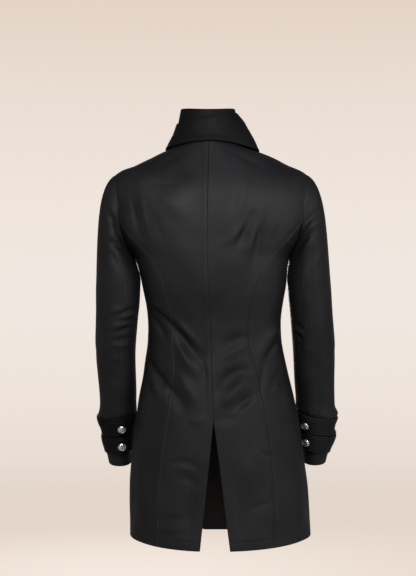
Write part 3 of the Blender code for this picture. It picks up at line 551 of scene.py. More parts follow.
def backPlaces(side):
    turns = np.linspace(0, body["princessTurn"], body["grid"]["armholeBack"])
    holeAngles, holeDrops = armhole(turns)
    below = fineDrops(holeDrops[-1])[1:]
    edgeDrops = np.concatenate([shoulderDrops, holeDrops, below])
    edgeAngles = np.concatenate([np.full(len(shoulderDrops), 90.0), holeAngles,
                                 side * princessAngle(below, side)]) * side
    centreDrops = evenCentre(edgeDrops)
    opening = body["ventHalfGap"] * np.clip(
        (centreDrops - body["ventDrop"]) / (body["hemDrop"] - body["ventDrop"]), 0, 1)
    return blendEdges(angleAcross(opening, centreDrops, side), centreDrops, edgeAngles, edgeDrops)


def sideBackPlaces(side):
    turns = np.linspace(body["princessTurn"], 180, body["grid"]["side"])
    topAngles, topDrops = armhole(turns)
    princessDrops = fineDrops(topDrops[0])
    seamDrops = body["underarmDrop"] + (princessDrops - princessDrops[0]) * (
        (body["hemDrop"] - body["underarmDrop"]) / (body["hemDrop"] - princessDrops[0]))
    firstAngles = side * princessAngle(princessDrops, side)
    angles, drops = blendEdges(firstAngles, princessDrops,
                               np.full(len(seamDrops), body["sideSeam"]), seamDrops)
    fade = (1 - np.linspace(0, 1, len(seamDrops))[:, None]) ** body["cutFade"]
    angles = angles + (topAngles - angles[0]) * fade
    drops = drops + (topDrops - drops[0]) * fade
    return side * angles, drops


def frontPlaces(side):
    holeAngles, holeDrops = armhole(360 - np.linspace(0, 180, body["grid"]["armholeFront"]))
    below = fineDrops(body["underarmDrop"])[1:]
    edgeDrops = np.concatenate([shoulderDrops, holeDrops, below])
    edgeAngles = np.concatenate([np.full(len(shoulderDrops), 90.0), holeAngles,
                                 np.full(len(below), body["sideSeam"])])
    centreDrops = evenCentre(edgeDrops)
    rampStart = frontAngle(-(body["lap"] + body["lapEase"] + body["lapRamp"]), centreDrops)
    lapEnd = frontAngle(body["lap"], centreDrops)
    angles, drops = blendEdges(edgeAngles, edgeDrops, rampStart, centreDrops)
    lapAngles, lapDrops = blendEdges(rampStart, centreDrops, lapEnd, centreDrops, body["grid"]["lap"])
    return (side * np.concatenate([angles, lapAngles[:, 1:]], axis=1),
            np.concatenate([drops, lapDrops[:, 1:]], axis=1))


def lapLift(angle, drop):
    passed = np.radians(np.abs(angle) - 180) * bodyRing(drop)["frontY"]
    return body["lapLift"] * smoothStep(
        (passed + body["lap"] + body["lapEase"] + body["lapRamp"]) / body["lapRamp"])


# Edges as they are sewn: (width, rise) of the allowance turned in behind each, and how far in from it a
# line of stitches runs
sewing = {
    "turnings": {
        "hem": (0.030, 0.0003),
        "seam": (0.0125, 0.0004),
        "sideSeam": (0.0125, 0.0003),
        "princess": (0.0056, 0.0006),
        "sleeve": (0.009, 0.0003),
        "leaf": (0.0066, 0.0003),
    },
    "lines": {"hem": 0.0175, "vent": 0.026, "princess": 0.0056, "front": 0.0066, "leaf": 0.0066},
    "edgeRamp": 0.004,  # over how much cloth a turned allowance ends
    "pull": (0.0005, 0.0013),  # depth and width of the groove that a line of stitches pulls in
    "swells": {  # a slight swell or dip along an edge: its height, how far in it lies, and its width
        "princess": (0.0003, 0.003, 0.002),
        "centre": (0.0003, 0.006, 0.004),
        "cuff": (-0.0003, 0.0115, 0.0016),
    },
    "pitch": 0.0042,
    "stitchLength": 0.0031,
    "threadRadius": 0.00022,
    "spindle": ((-0.36, 0.8), (0.0, 1.0), (0.36, 0.8)),  # place along a stitch and thickness of its rings
    "arch": (0.75, 6.4),  # how high its middle lies, and how fast it dips towards its ends
}
stitchRuns = []  # (points, normals) of every line of stitches, gathered piece by piece


def turning(distance, edge):
    width, rise = sewing["turnings"][edge]
    return rise * smoothStep((width - distance) / sewing["edgeRamp"] + 0.5)


def stitchPull(distance, edge):
    depth, width = sewing["pull"]
    return -depth * bump(distance - sewing["lines"][edge], width)


def edgeSwell(distance, edge):
    height, place, width = sewing["swells"][edge]
    return height * bump(distance - place, width)


def nearestLine(distances, edge):
    return np.argmin(np.abs(distances - sewing["lines"][edge]), axis=-1)


def keepStitches(points, normals, lift=0.0):
    stitchRuns.append((points + normals * lift, normals))


def bodyPanel(node, angles, drops, side, kind, material):
    angles, drops = spreadColumns(angles, drops, plainBody)
    base = plainBody(angles, drops)
    normal = bodyNormal(angles, drops)
    fromFirst, fromLast, _, fromHem = edgeDistances(base)
    height = bodyHeight(angles, drops) + stitchPull(fromHem, "hem") + turning(fromHem, "hem")
    edgeLine = None
    if kind == "back":
        seamFade, ventFade, hemFade = body["ventFades"]
        inSeam = smoothStep((body["ventDrop"] - drops) / seamFade)
        inVent = smoothStep((drops - body["ventDrop"]) / ventFade) * smoothStep(fromHem / hemFade)
        height += turning(fromFirst, "seam") * inSeam + stitchPull(fromFirst, "vent") * inVent
        height += turning(fromLast, "princess") + stitchPull(fromLast, "princess")
        height += edgeSwell(fromLast, "princess")
        if side > 0:  # the centre seam's allowance lies to the left
            height += edgeSwell(fromFirst, "centre") * inSeam
        edgeLine = "princess"
    if kind == "sideBack":
        height += turning(fromFirst, "seam") + turning(fromLast, "sideSeam")
    if kind == "front":
        height += turning(fromFirst, "sideSeam") + stitchPull(fromLast, "front")
        if side > 0:
            height += lapLift(angles, drops)
            edgeLine = "front"
    outer = sewPiece(node + "Cloth", node, base, normal, height, cloth["bodyWall"], material)
    if edgeLine:
        column = nearestLine(fromLast[len(base) // 2], edgeLine)
        keepStitches(outer[:, column], normal[:, column])
    row = nearestLine(fromHem[:, base.shape[1] // 2], "hem")
    keepStitches(outer[row], normal[row])
    if kind == "back":
        rows = np.nonzero(drops[:, 0] > body["ventDrop"] + body["ventFades"][0])[0]
        column = nearestLine(fromFirst[rows], "vent")
        keepStitches(outer[rows, column], normal[rows, column])


# Sleeves: the arm's middle line and the half sizes of its sections, out from the body and front to back

sleeve = {
    "columns": ("z", "out", "y", "halfOut", "halfDeep"),
    "rows": {
        "left": (
            (-0.300, 0.2058, -0.003, 0.0485, 0.0635),
            (-0.340, 0.2070, -0.004, 0.0478, 0.0615),
            (-0.390, 0.2105, -0.008, 0.0462, 0.059),
            (-0.449, 0.2127, -0.016, 0.0440, 0.056),
            (-0.505, 0.2112, -0.028, 0.0425, 0.053),
            (-0.560, 0.2090, -0.043, 0.0405, 0.050),
            (-0.582, 0.2092, -0.049, 0.0400, 0.0495),
            (-0.600, 0.2120, -0.054, 0.0420, 0.0505),
            (-0.634, 0.2108, -0.064, 0.0335, 0.0460),
            (-0.643, 0.2112, -0.067, 0.0338, 0.0465),
            (-0.680, 0.2085, -0.078, 0.0285, 0.0450),
            (-0.703, 0.2062, -0.084, 0.0262, 0.0450),
        ),
        "right": (
            (-0.300, 0.2130, -0.003, 0.0473, 0.0635),
            (-0.340, 0.2163, -0.004, 0.0468, 0.0615),
            (-0.390, 0.2212, -0.008, 0.0468, 0.059),
            (-0.449, 0.2250, -0.016, 0.0462, 0.056),
            (-0.505, 0.2272, -0.028, 0.0450, 0.053),
            (-0.560, 0.2300, -0.043, 0.0430, 0.050),
            (-0.576, 0.2312, -0.047, 0.0428, 0.0497),
            (-0.593, 0.2345, -0.052, 0.0450, 0.0505),
            (-0.626, 0.2336, -0.062, 0.0380, 0.0465),
            (-0.639, 0.2358, -0.066, 0.0398, 0.0470),
            (-0.675, 0.2318, -0.077, 0.0315, 0.0455),
            (-0.701, 0.2300, -0.084, 0.0268, 0.0450),
        ),
    },
    "capEnd": -0.300,
    "cuffZ": {"left": -0.703, "right": -0.701},
    "tilt": 0.16,
    "square": 2.15,
    "hindSeam": 105.0,
    "foreSeam": 240.0,
    "capOut": (0.93, -0.36),  # way out and up in which the cap leaves the shoulder
    "capUnder": (0.12, -1.00),  # and the underarm
    "capSpread": 0.12,
    "capReach": 0.155,
    "capUnderReach": 0.04,
    "capPull": 0.92,
    "capLength": 0.13,
    "perDegree": 0.00092,  # cloth round the arm for each degree
    "puff": (0.0016, 0.011, 0.011),  # swell over the upper strap: its height, how far above, its width
    "gathers": (0.0005, 0.007, 0.007),
    "calm": (0.75, 0.10),  # how much, and how far down, the armhole seam holds the creases flat
    "ending": (0.0005, 0.006),  # how far above the upper strap all its relief ends, and how softly
    "gridTurns": 91,
    "capRows": 28,
    "puffRows": (0.024, 0.004, 0.002),  # fine rows from above the upper strap to past its edge, their step
    "coveredRows": (0.008, 0.028, 0.007),  # coarse ones from there to above the cuff, their step
    "cuffRows": (0.0, 0.0019, 0.0034, 0.006, 0.009, 0.0115, 0.014, 0.018, 0.022),
    "straps": {"left": {"upper": -0.5935, "lower": -0.6355}, "right": {"upper": -0.5915, "lower": -0.6315}},
}
# Creases of the sleeves, from (turn, place) to (turn, place), then as the body's. Turn 0 is the arm's
# outer side and 90 its back. Place runs from 0 to 1 down the cap and then on in metres.
sleeveCreases = {
    "left": (
        (51, 0.36, 145, 0, 3, -5.4, 6.2, 0.5),
        (62, 0.3, 118, 0.02, -4, 2.2, 6, 0.45),
        (54, 0.6, 141, 0.2, 6, -4.8, 5.8, 0.5),
        (49, 0.56, 119, 0.26, 5, 3.8, 5.2, 0.5),
        (57, 0.68, 110, 0.8, -9, -1.8, 7, 0.5),
        (50, 1.063, 122, 1.046, -2, 3, 5.4, 0.55),
        (80, 1.069, 172, 1.058, -9, -3.4, 4.8, 0.5),
        (92, 1.073, 174, 1.065, -7, 2.6, 4.4, 0.5),
        (78, 1.074, 172, 1.074, 3, -3, 4.8, 0.55),
        (48, 1.098, 168, 1.083, -6, 3.4, 5.6, 0.6),
        (74, 1.107, 170, 1.092, -8, -4.2, 5, 0.55),
        (62, 1.124, 168, 1.114, -2, -2.4, 6, 0.5),
        (56, 1.131, 166, 1.13, -2, 2.2, 5.6, 0.5),
        (60, 1.15, 128, 1.164, 3, 1.4, 7, 0.45),
        (52, 1.176, 110, 1.214, 3, -1.4, 7, 0.45),
        (-20, 1.11, 44, 1.19, 4, -1.1, 9, 0.5),
        (-28, 1.06, -104, 1.078, 2, -2.6, 5.5, 0.5),
        (-26, 1.092, -100, 1.104, 2, 2, 5.5, 0.5),
        (-30, 1.12, -106, 1.132, 2, -2.2, 5.5, 0.5),
        (-24, 0.46, -100, 0.14, -4, -2.2, 7, 0.5),
        (-34, 0.62, -104, 0.32, -4, 1.6, 7, 0.5),
        (184, 0.62, 222, 0.4, 2, -1.6, 7, 0.5),
        (176, 1.07, 226, 1.074, 2, -1.6, 6, 0.5),
    ),
    "right": (
        (16, 0.44, 124, 0, 9, -5.6, 6.2, 0.5),
        (10, 0.52, 126, 0.06, 10, 4.4, 5.8, 0.5),
        (62, 0.5, 146, 0.04, 4, -5.2, 5.8, 0.5),
        (69, 0.56, 133, 0.48, -7, 2.6, 6.2, 0.45),
        (56, 0.64, 109, 0.84, -7, -1.8, 6, 0.45),
        (42, 0.7, 96, 0.86, -7, 1.8, 6, 0.45),
        (36, 0.26, 96, 0.02, 3, -1.8, 6, 0.5),
        (150, 1.08, 112, 1.096, -3, -3.4, 4.6, 0.45),
        (153, 1.092, 111, 1.112, 3, 2.6, 4.4, 0.45),
        (155, 1.104, 120, 1.128, 5, -3, 4.6, 0.45),
        (147, 1.124, 124, 1.152, 5, -1.8, 5, 0.45),
        (88, 1.012, 116, 1.056, -2, 1.8, 6.5, 0.5),
        (84, 1.13, 150, 1.144, 3, 1.4, 7, 0.45),
        (70, 1.16, 126, 1.196, 3, -1.4, 7, 0.45),
        (-14, 1.12, 48, 1.2, 4, -1.1, 9, 0.5),
        (-28, 1.056, -102, 1.07, 2, -2.6, 5.5, 0.5),
        (-30, 1.086, -104, 1.098, 2, 2, 5.5, 0.5),
        (-26, 1.116, -100, 1.126, 2, -2.2, 5.5, 0.5),
        (-22, 0.44, -102, 0.12, -4, -2.2, 7, 0.5),
        (-30, 0.64, -106, 0.34, -4, 1.6, 7, 0.5),
        (186, 0.6, 224, 0.42, 2, -1.6, 7, 0.5),
    ),
}


def sideWord(side):
    return "left" if side > 0 else "right"


# Section: a superellipse across the arm, dipping towards the back by tilt times its depth
def armPoint(turn, z, side):
    arm = tableAt(sleeve["rows"][sideWord(side)], sleeve["columns"], z)
    sine = np.sin(np.radians(turn))
    cosine = np.cos(np.radians(turn))
    radius = (np.abs(cosine) ** sleeve["square"] + np.abs(sine) ** sleeve["square"]) ** (
        -1 / sleeve["square"])
    deep = arm["halfDeep"] * radius * sine
    x = side * (arm["out"] + arm["halfOut"] * radius * cosine)
    return np.stack([x, arm["y"] + deep, arm["z"] - sleeve["tilt"] * deep], axis=-1)


# Cap: a Hermite curve from the armhole seam, leaving it outwards, to the top section of the arm
def capPoint(turn, share, side):
    angle, drop = armhole(np.mod(turn, 360.0))
    out = np.cos(np.radians(turn) / 2) ** 2
    lift = (cloth["seamGap"] * (1 - out))[..., None]
    start = plainBody(side * angle, drop) + bodyNormal(side * angle, drop) * lift
    end = armPoint(turn, np.full_like(share, sleeve["capEnd"]), side)
    below = armPoint(turn, np.full_like(share, sleeve["capEnd"] - 0.01), side)
    lean = np.stack([side * (sleeve["capOut"][0] * out + sleeve["capUnder"][0] * (1 - out)),
                     sleeve["capSpread"] * np.sin(np.radians(turn)),
                     sleeve["capOut"][1] * out + sleeve["capUnder"][1] * (1 - out)], axis=-1)
    reach = sleeve["capReach"] * out + sleeve["capUnderReach"] * (1 - out)
    startSlope = unit(lean) * reach[..., None]
    endSlope = unit(below - end) * np.linalg.norm(end - start, axis=-1, keepdims=True) * sleeve["capPull"]
    t = share[..., None]
    return ((2 * t**3 - 3 * t**2 + 1) * start + (t**3 - 2 * t**2 + t) * startSlope
            + (3 * t**2 - 2 * t**3) * end + (t**3 - t**2) * endSlope)


def sleevePoint(turn, down, side):
    share = np.clip(down, 0.0, 1.0)
    z = np.maximum(sleeve["capEnd"] - np.maximum(down - 1.0, 0.0), sleeve["cuffZ"][sideWord(side)])
    onCap = (down <= 1.0)[..., None]
    return np.where(onCap, capPoint(turn, share, side), armPoint(turn, z, side))


def sleeveNormal(turn, down, side):
    return -side * slopeNormal(lambda a, b: sleevePoint(a, b, side), turn, down, 1.0, 0.004)


def sleeveLength(down):
    return np.where(down < 1, down * sleeve["capLength"], sleeve["capLength"] + down - 1)


def sleevePlace(turn, down):
    return np.array([turn * sleeve["perDegree"], float(sleeveLength(down))])


# Relief of a sleeve: two slow waves round and down the arm and its creases, which are calmer near the
# armhole seam, and fine gathers sin(11 a) + 0.6 sin(19 a + 40) where the cloth swells over the upper strap
def sleeveHeight(turn, down, side):
    word = sideWord(side)
    first = sleeve["foreSeam"] - 360
    wrapped = np.mod(turn - first, 360.0) + first
    length = sleeveLength(down)
    total = 0.0006 * np.sin(np.radians(2 * turn) + 31 * length) * np.sin(23 * length + 1.1)
    total += 0.0004 * np.sin(np.radians(3 * turn) - 47 * length + 2.0)
    total += creaseHeights(wrapped * sleeve["perDegree"], length, sleeveCreases[word], sleevePlace)
    slant = strap["slant"][word] * np.cos(np.radians(turn))
    above = length - sleeveLength(1.0 + sleeve["capEnd"] - sleeve["straps"][word]["upper"] + slant)
    gather = np.sin(np.radians(11 * turn)) + 0.6 * np.sin(np.radians(19 * turn + 40))
    (puffHeight, puffAbove, puffWidth), (height, away, width) = sleeve["puff"], sleeve["gathers"]
    puff = puffHeight * bump(above + puffAbove, puffWidth) + height * gather * bump(above + away, width)
    (amount, reach), (ending, softness) = sleeve["calm"], sleeve["ending"]
    return (total * (1 - amount * bump(down, reach)) + puff) * smoothStep(-(above + ending) / softness)


# Rows of a sleeve: fine at the seam, over the swell and at the cuff, and coarse under the straps
def sleevePlaces(side):
    word = sideWord(side)
    slant = strap["slant"][word]
    length = sleeve["capLength"]
    cap = np.concatenate([np.array(nearEdge) / length,
                          np.linspace(nearEdge[-1] / length, 1.0, sleeve["capRows"])[1:]])
    upper = 1 + sleeve["capEnd"] - sleeve["straps"][word]["upper"]
    above, past, step = sleeve["puffRows"]
    armRows = np.arange(1 + cloth["cell"], upper - above - slant, cloth["cell"])
    puff = np.arange(upper - above - slant, upper + past + slant, step)
    cuff = 1 + sleeve["capEnd"] - sleeve["cuffZ"][word]
    past, above, step = sleeve["coveredRows"]
    covered = np.arange(upper + past + slant, cuff - above, step)
    end = cuff - np.array(sleeve["cuffRows"])[::-1]
    return np.concatenate([cap, armRows, puff, covered, end])


def sleevePanel(node, firstTurn, lastTurn, side, material):
    places = sleevePlaces(side)
    turns, downs = np.meshgrid(np.linspace(firstTurn, lastTurn, sleeve["gridTurns"]), places)
    turns, downs = spreadColumns(turns, downs, lambda a, b: sleevePoint(a, b, side))
    base = sleevePoint(turns, downs, side)
    fromFirst, fromLast, _, _ = edgeDistances(base)
    height = sleeveHeight(turns, downs, side) + turning(fromFirst, "sleeve") + turning(fromLast, "sleeve")
    height += edgeSwell(places[-1] - downs, "cuff")  # where the cuff's hem is caught
    sewPiece(node + "Cloth", node, base, sleeveNormal(turns, downs, side), height, cloth["sleeveWall"],
             material)


# Cuff straps: bands round the lower sleeve with sewn channels, each lapping over its own start

strap = {
    "width": 0.0385,
    "slant": {"left": 0.003, "right": 0.008},
    "ribs": 7,
    "ribHeight": 0.0013,
    "ribCurve": 0.6,
    "pucker": (0.16, 37, 5.3, 9),  # how much the channels pucker, and how close along and across
    "start": {"left": 89.0, "right": 106.0},
    "lapTurn": 395.0,  # degrees from its start to its end, past its start again
    "lapLift": 0.0044,
    "rise": (317.0, 357.0),  # between which it climbs over its start
    "tipTurn": 380.0,
    "tipWidth": 0.5,
    "tipCurve": 1.6,
    "stitchLift": 0.0001,
    "buttonTurn": 16.0,
    "columns": 132,
    "rows": 56,
}


# A strap climbs over its own start; its turns are counted from there, and it narrows over its tip
def strapLift(passed):
    rise = (passed - strap["rise"][0]) / (strap["rise"][1] - strap["rise"][0])
    return cloth["seamGap"] + strap["lapLift"] * smoothStep(rise)


def strapWidth(passed):
    narrowing = np.clip((passed - strap["tipTurn"]) / (strap["lapTurn"] - strap["tipTurn"]), 0, 1)
    return strap["width"] * (1 - (1 - strap["tipWidth"]) * narrowing ** strap["tipCurve"])


def strapDown(turn, top, side):
    slant = strap["slant"][sideWord(side)] * np.cos(np.radians(turn))
    return 1.0 + sleeve["capEnd"] - (top - strap["width"] / 2 - slant)


# Band: the sleeve's own points moved out, its channels raised by |sin(pi ribs share)| ^ ribCurve
def strapBand(node, top, side, material):
    passed, shares = np.meshgrid(np.linspace(0, strap["lapTurn"], strap["columns"]),
                                 np.linspace(0, 1, strap["rows"] + 1))
    turns = passed + strap["start"][sideWord(side)]
    down = strapDown(turns, top, side) - (0.5 - shares) * strapWidth(passed)
    base = sleevePoint(turns, down, side)
    normal = sleeveNormal(turns, down, side)
    rib = np.abs(np.sin(math.pi * strap["ribs"] * shares)) ** strap["ribCurve"]
    amount, close, slow, across = strap["pucker"]
    slowWave = np.sin(np.radians(turns * slow) + across * shares)
    pucker = 1 + amount * np.sin(np.radians(turns * close)) * slowWave
    wall = cloth["strapWall"] + strap["ribHeight"] * rib * pucker
    outer = sewPiece(node + "Cloth", node, base, normal, strapLift(passed) + wall, wall, material, 2)
    per = strap["rows"] // strap["ribs"]
    for row in range(per, strap["rows"], per):
        keepStitches(outer[row, 2:-2], normal[row, 2:-2], strap["stitchLift"])


# Collar rings, where each lies at the back, the side and the front

collar = {
    "columns": ("place", "backZ", "sideZ", "lean", "frontZ", "centreX", "halfLeft", "halfRight", "backY",
                "frontY", "square"),  # lean: how much higher its right side lies
    "stand": (
        (0, 0.0086, -0.0032, 0.0, -0.0770, 0.0080, 0.0780, 0.0780, 0.0620, 0.0860, 2.0),  # on the neck seam
        (1, 0.0300, 0.0260, 0.0, -0.0400, 0.0080, 0.0715, 0.0705, 0.0600, 0.0790, 2.0),
        (2, 0.0510, 0.0540, 0.0, -0.0100, 0.0080, 0.0655, 0.0640, 0.0575, 0.0740, 2.0),
        (3, 0.0745, 0.0800, 0.0, 0.0180, 0.0080, 0.0605, 0.0585, 0.0556, 0.0700, 2.0),  # top edge
    ),
    "leaf": (
        (0, 0.0600, 0.0590, 0.0120, -0.0080, 0.0080, 0.0706, 0.0638, 0.0602, 0.0778, 2.0),  # fold
        (1, 0.0500, 0.0480, 0.0100, -0.0180, 0.0078, 0.0735, 0.0740, 0.0655, 0.0825, 2.0),
        (2, 0.0340, 0.0300, 0.0060, -0.0380, 0.0060, 0.0795, 0.0870, 0.0685, 0.0890, 2.05),
        (3, 0.0180, 0.0110, 0.0020, -0.0620, 0.0030, 0.0900, 0.0975, 0.0702, 0.0960, 2.1),
        (4, 0.0045, -0.0060, 0.0, -0.0830, 0.0000, 0.1000, 0.1035, 0.0690, 0.1000, 2.15),  # edge
    ),
    "edgeColumns": ("angle", "drop", "lift"),  # where the leaf's edge lies on the body cloth
    "edge": (
        (-158, 0.0300, 0.0085),
        (-120, 0.0260, 0.0065),
        (-90, 0.0225, 0.0048),
        (-75, 0.0150, 0.0044),
        (-50, 0.0075, 0.0044),
        (-30, 0.0055, 0.0044),
        (0, 0.0045, 0.0044),
        (30, 0.0062, 0.0044),
        (50, 0.0083, 0.0044),
        (75, 0.0110, 0.0044),
        (90, 0.0138, 0.0048),
        (120, 0.0200, 0.0065),
        (158, 0.0280, 0.0105),
    ),
    "drapePower": 1.6,
    "leafEnd": 158.0,
    "perRadian": 0.08,  # cloth round the collar for each radian
    "ripple": (1.6, 0.0008),  # how close and how high its slow waves are
    "cell": 0.0040,
    "gridShares": 41,
}


def standPoint(angle, share):
    ring = tableAt(collar["stand"], collar["columns"], share * 3)
    lift = np.where(angle > 90, lapLift(angle, np.zeros_like(angle)), 0.0) * (1 - share) ** 2
    foot = bodyNormal(angle, np.zeros_like(angle)) * lift[..., None]
    return ringPoint(angle, ring) + foot


# Leaf: its rings, brought towards its edge's place on the body by (share from the fold) ^ drapePower
def leafPoint(angle, share):
    edge = tableAt(collar["edge"], collar["edgeColumns"], angle)
    lying = plainBody(angle, edge["drop"]) + bodyNormal(angle, edge["drop"]) * edge["lift"][..., None]
    ringEdge = ringPoint(angle, tableAt(collar["leaf"], collar["columns"], np.full_like(share, 4.0)))
    pull = np.maximum(share, 0.0) ** collar["drapePower"]
    return ringPoint(angle, tableAt(collar["leaf"], collar["columns"], share * 4)) + (
        lying - ringEdge) * pull[..., None]


def edgedAngles(end, step=2.4, perMetre=560.0):
    near = np.array(nearEdge) * perMetre
    middle = np.linspace(-end + near[-1], end - near[-1], round(2 * end / step))
    return np.concatenate([-end + near[:-1], middle, (end - near[:-1])[::-1]])


collarCreases = (  # as the body's
    (-40, 6, -14, 30, 2, -1, 6, 0.4),
    (30, 6, 56, 34, -2, -1, 6, 0.4),
    (-92, 8, -70, 46, 2, 1.2, 8, 0.5),
    (84, 8, 70, 46, 2, 1.2, 8, 0.5),
    (128, 10, 112, 50, 2, -1.2, 8, 0.5),
    (-130, 10, -114, 50, 2, -1.2, 8, 0.5),
)


def collarPlace(angle, millimetres):
    return np.array([math.radians(angle) * collar["perRadian"], millimetres / 1000])


# The stand's rows run up and the leaf's run down, so wallSide tells which way their normals look
def collarPiece(name, node, surface, end, wallSide, material):
    angles, shares = np.meshgrid(edgedAngles(end), np.linspace(0, 1, collar["gridShares"]),
                                 indexing="ij")
    angles, shares = spreadColumns(angles, shares, surface, cell=collar["cell"])
    base = surface(angles, shares)
    normal = slopeNormal(surface, angles, shares, 1.0, 0.01)
    fromTop, fromEdge, run, toEnd = edgeDistances(base)
    fromEnds = np.minimum(run, toEnd)
    across = np.radians(angles) * collar["perRadian"]
    close, high = collar["ripple"]
    height = ripple(across * close, fromTop * close, high)
    isLeaf = wallSide > 0
    if isLeaf:
        border = np.minimum(fromEdge, fromEnds)
        height += stitchPull(border, "leaf") + turning(border, "leaf")
        height += creaseHeights(across, fromTop, collarCreases, collarPlace, 1.0)
    outer = sewPiece(name, node, base, normal, height, wallSide * cloth["collarWall"], material)
    if isLeaf:
        inBorder = fromEnds[:, -1] > sewing["lines"]["leaf"]
        column = nearestLine(fromEdge[len(angles) // 2], "leaf")
        keepStitches(outer[inBorder, column], normal[inBorder, column])
        for fromOneEnd in (run[:, -1], toEnd[:, -1]):
            row = nearestLine(fromOneEnd, "leaf")
            inLine = fromEdge[row] > sewing["lines"]["leaf"]
            keepStitches(outer[row, inLine], normal[row, inLine])


# Buttons: one turned outline with a petal relief, on a round shank

button = {
    "radius": 0.009,
    "shankHeight": 0.0022,
    "petals": 8,
    "petalRelief": 0.00065,
    "beads": 30,
    "beadRelief": 0.00030,
    "faceFrom": 0.0019,  # height above which the outline is the face
    "petalBand": (0.30, 0.12, 0.84, 0.12),  # share of the radius where the petals start, end, and how softly
    "hollowBand": (0.34, 0.1, 0.84, 0.08),  # and the dark between them
    "hollow": 0.9,
    "rim": (0.93, 0.05),  # place and width of the beads, and of the dark rings beside the petals
    "rings": ((0.30, 0.05), (0.835, 0.035)),
    "around": 64,
    "frontCount": 5,
    "frontDrops": (0.125, 0.500),
}
# (radius, height) from the shank's foot out under the button, round its rim and up to its middle
buttonProfile = (
    (0.330, -0.0022), (0.330, -0.0004), (0.360, 0.0000), (0.880, 0.0000), (0.955, 0.0003), (0.995, 0.0008),
    (1.000, 0.0014), (0.985, 0.0020), (0.945, 0.0024), (0.900, 0.0024), (0.860, 0.0020), (0.830, 0.0018),
    (0.790, 0.0021), (0.720, 0.0026), (0.640, 0.0030), (0.550, 0.0034), (0.460, 0.0036), (0.380, 0.0036),
    (0.330, 0.0033), (0.290, 0.0034), (0.240, 0.0038), (0.170, 0.0041), (0.090, 0.0042),
)


def band(share, start, startFade, end, endFade):
    return smoothStep((share - start) / startFade) * smoothStep((end - share) / endFade)


# Turned face: z(r) + petals cos^2(n a / 2) between two radii + a beaded rim cos(m a), turned to its place
def buttonPiece(node, point, outward, material):
    profile = np.array(buttonProfile)
    count = button["around"]
    turns = np.linspace(0, 2 * math.pi, count, endpoint=False)
    share = profile[:, 0, None]
    onFace = profile[:, 1, None] > button["faceFrom"]
    petal = np.cos(button["petals"] * turns / 2) ** 2 * band(share, *button["petalBand"])
    bead = 0.5 + 0.5 * np.cos(button["beads"] * turns)
    rim, *rings = (bump(share - place, width) for place, width in (button["rim"], *button["rings"]))
    relief = onFace * (button["petalRelief"] * petal + button["beadRelief"] * bead * rim)
    radius = share * button["radius"]
    lifted = np.stack([radius * np.cos(turns), radius * np.sin(turns),
                       profile[:, 1, None] + relief + button["shankHeight"]], axis=-1)
    between = band(share, *button["hollowBand"]) * (1 - petal) ** 2
    hollow = np.clip(sum(rings) + button["hollow"] * between + rim * (1 - bead), 0, 1) * onFace
    outward = unit(np.asarray(outward, float))
    sideways = unit(np.cross([0.0, 0.0, 1.0], outward))
    frameOf = np.stack([sideways, np.cross(outward, sideways), outward])
    poles = np.array([[0, 0, lifted[0, 0, 2]], [0, 0, lifted[-1, :, 2].max()]])
    points = np.concatenate([lifted.reshape(-1, 3), poles]) @ frameOf + point
    quads, fan = turnedFaces(len(profile), count)
    faces = [np.roll(part[:, ::-1], 1, axis=1).tolist()  # turned over, as its outline runs upwards
             for part in (quads, fan(0, len(points) - 2), fan(-1, len(points) - 1))]
    piece = setPoints(node + "Metal", points, sum(faces, []))
    patina = piece.data.attributes.new("patina", "FLOAT", "POINT")
    patina.data.foreach_set("value", np.concatenate([hollow.ravel(), [0.0, 0.0]]).astype(np.float32))
    dress(piece, material, "silver", node)


def valuesAlong(run, values, places):
    return np.stack([np.interp(places, run, values[:, k]) for k in range(3)], axis=-1)


# Stitches: each a small spindle of thread, whose middle line is r (high - fall s^2) up at s along it, so
# that it dips into the cloth at both its ends
def stitchPiece(name, material, sides=5):
    turns = np.linspace(0, 2 * math.pi, sides, endpoint=False)
    rings = [np.stack([np.full(sides, place), thick * np.cos(turns), thick * np.sin(turns)], axis=-1)
             for place, thick in sewing["spindle"]]
    shape = np.concatenate([*rings, [[-0.5, 0, 0], [0.5, 0, 0]]])
    quads, fan = turnedFaces(len(rings), sides)
    tips = np.concatenate([fan(0, len(shape) - 2), fan(-1, len(shape) - 1)])
    stitches = []
    for points, normals in stitchRuns:
        run = runLength(points[None], 1)[0]
        middles = np.arange(sewing["pitch"] / 2, run[-1], sewing["pitch"])
        ahead = valuesAlong(run, points, middles + 0.001) - valuesAlong(run, points, middles - 0.001)
        stitches.append((valuesAlong(run, points, middles), unit(ahead),
                         unit(valuesAlong(run, normals, middles))))
    centres, forwards, ups = (np.concatenate(part) for part in zip(*stitches))
    radius = sewing["threadRadius"]
    high, fall = sewing["arch"]
    dip = radius * (high - fall * shape[:, 0] ** 2)
    points = (centres[:, None] + forwards[:, None] * (shape[None, :, :1] * sewing["stitchLength"])
              + np.cross(ups, forwards)[:, None] * (shape[None, :, 1:2] * radius)
              + ups[:, None] * (shape[None, :, 2:3] * radius + dip[None, :, None]))
    offset = np.arange(len(centres))[:, None, None] * len(shape)
    faces = [(part[None] + offset).reshape(-1, part.shape[1]).tolist() for part in (quads, tips)]
    piece = setPoints(name, points.reshape(-1, 3), faces[0] + faces[1])
    dress(piece, material, "wool")
    print("stitches", len(centres))


# Materials. Effects that more than one of them uses are groups with named inputs and outputs.

# Feeds a node's inputs: a socket is linked, and anything else is set on the node itself
def feed(node, values):
    for key, value in values.items():
        if isinstance(value, bpy.types.NodeSocket):
            node.id_data.links.new(value, node.inputs[key])
        else:
            node.inputs[key].default_value = value


def nodeIn(tree, kind, values=None, **settings):
    node = tree.nodes.new(kind)
    for key, value in settings.items():
        setattr(node, key, value)
    feed(node, values or {})
    return node


def maths(operation, *values):
    tree = next(value.id_data for value in values if isinstance(value, bpy.types.NodeSocket))
    return nodeIn(tree, "ShaderNodeMath", dict(enumerate(values)), operation=operation).outputs[0]


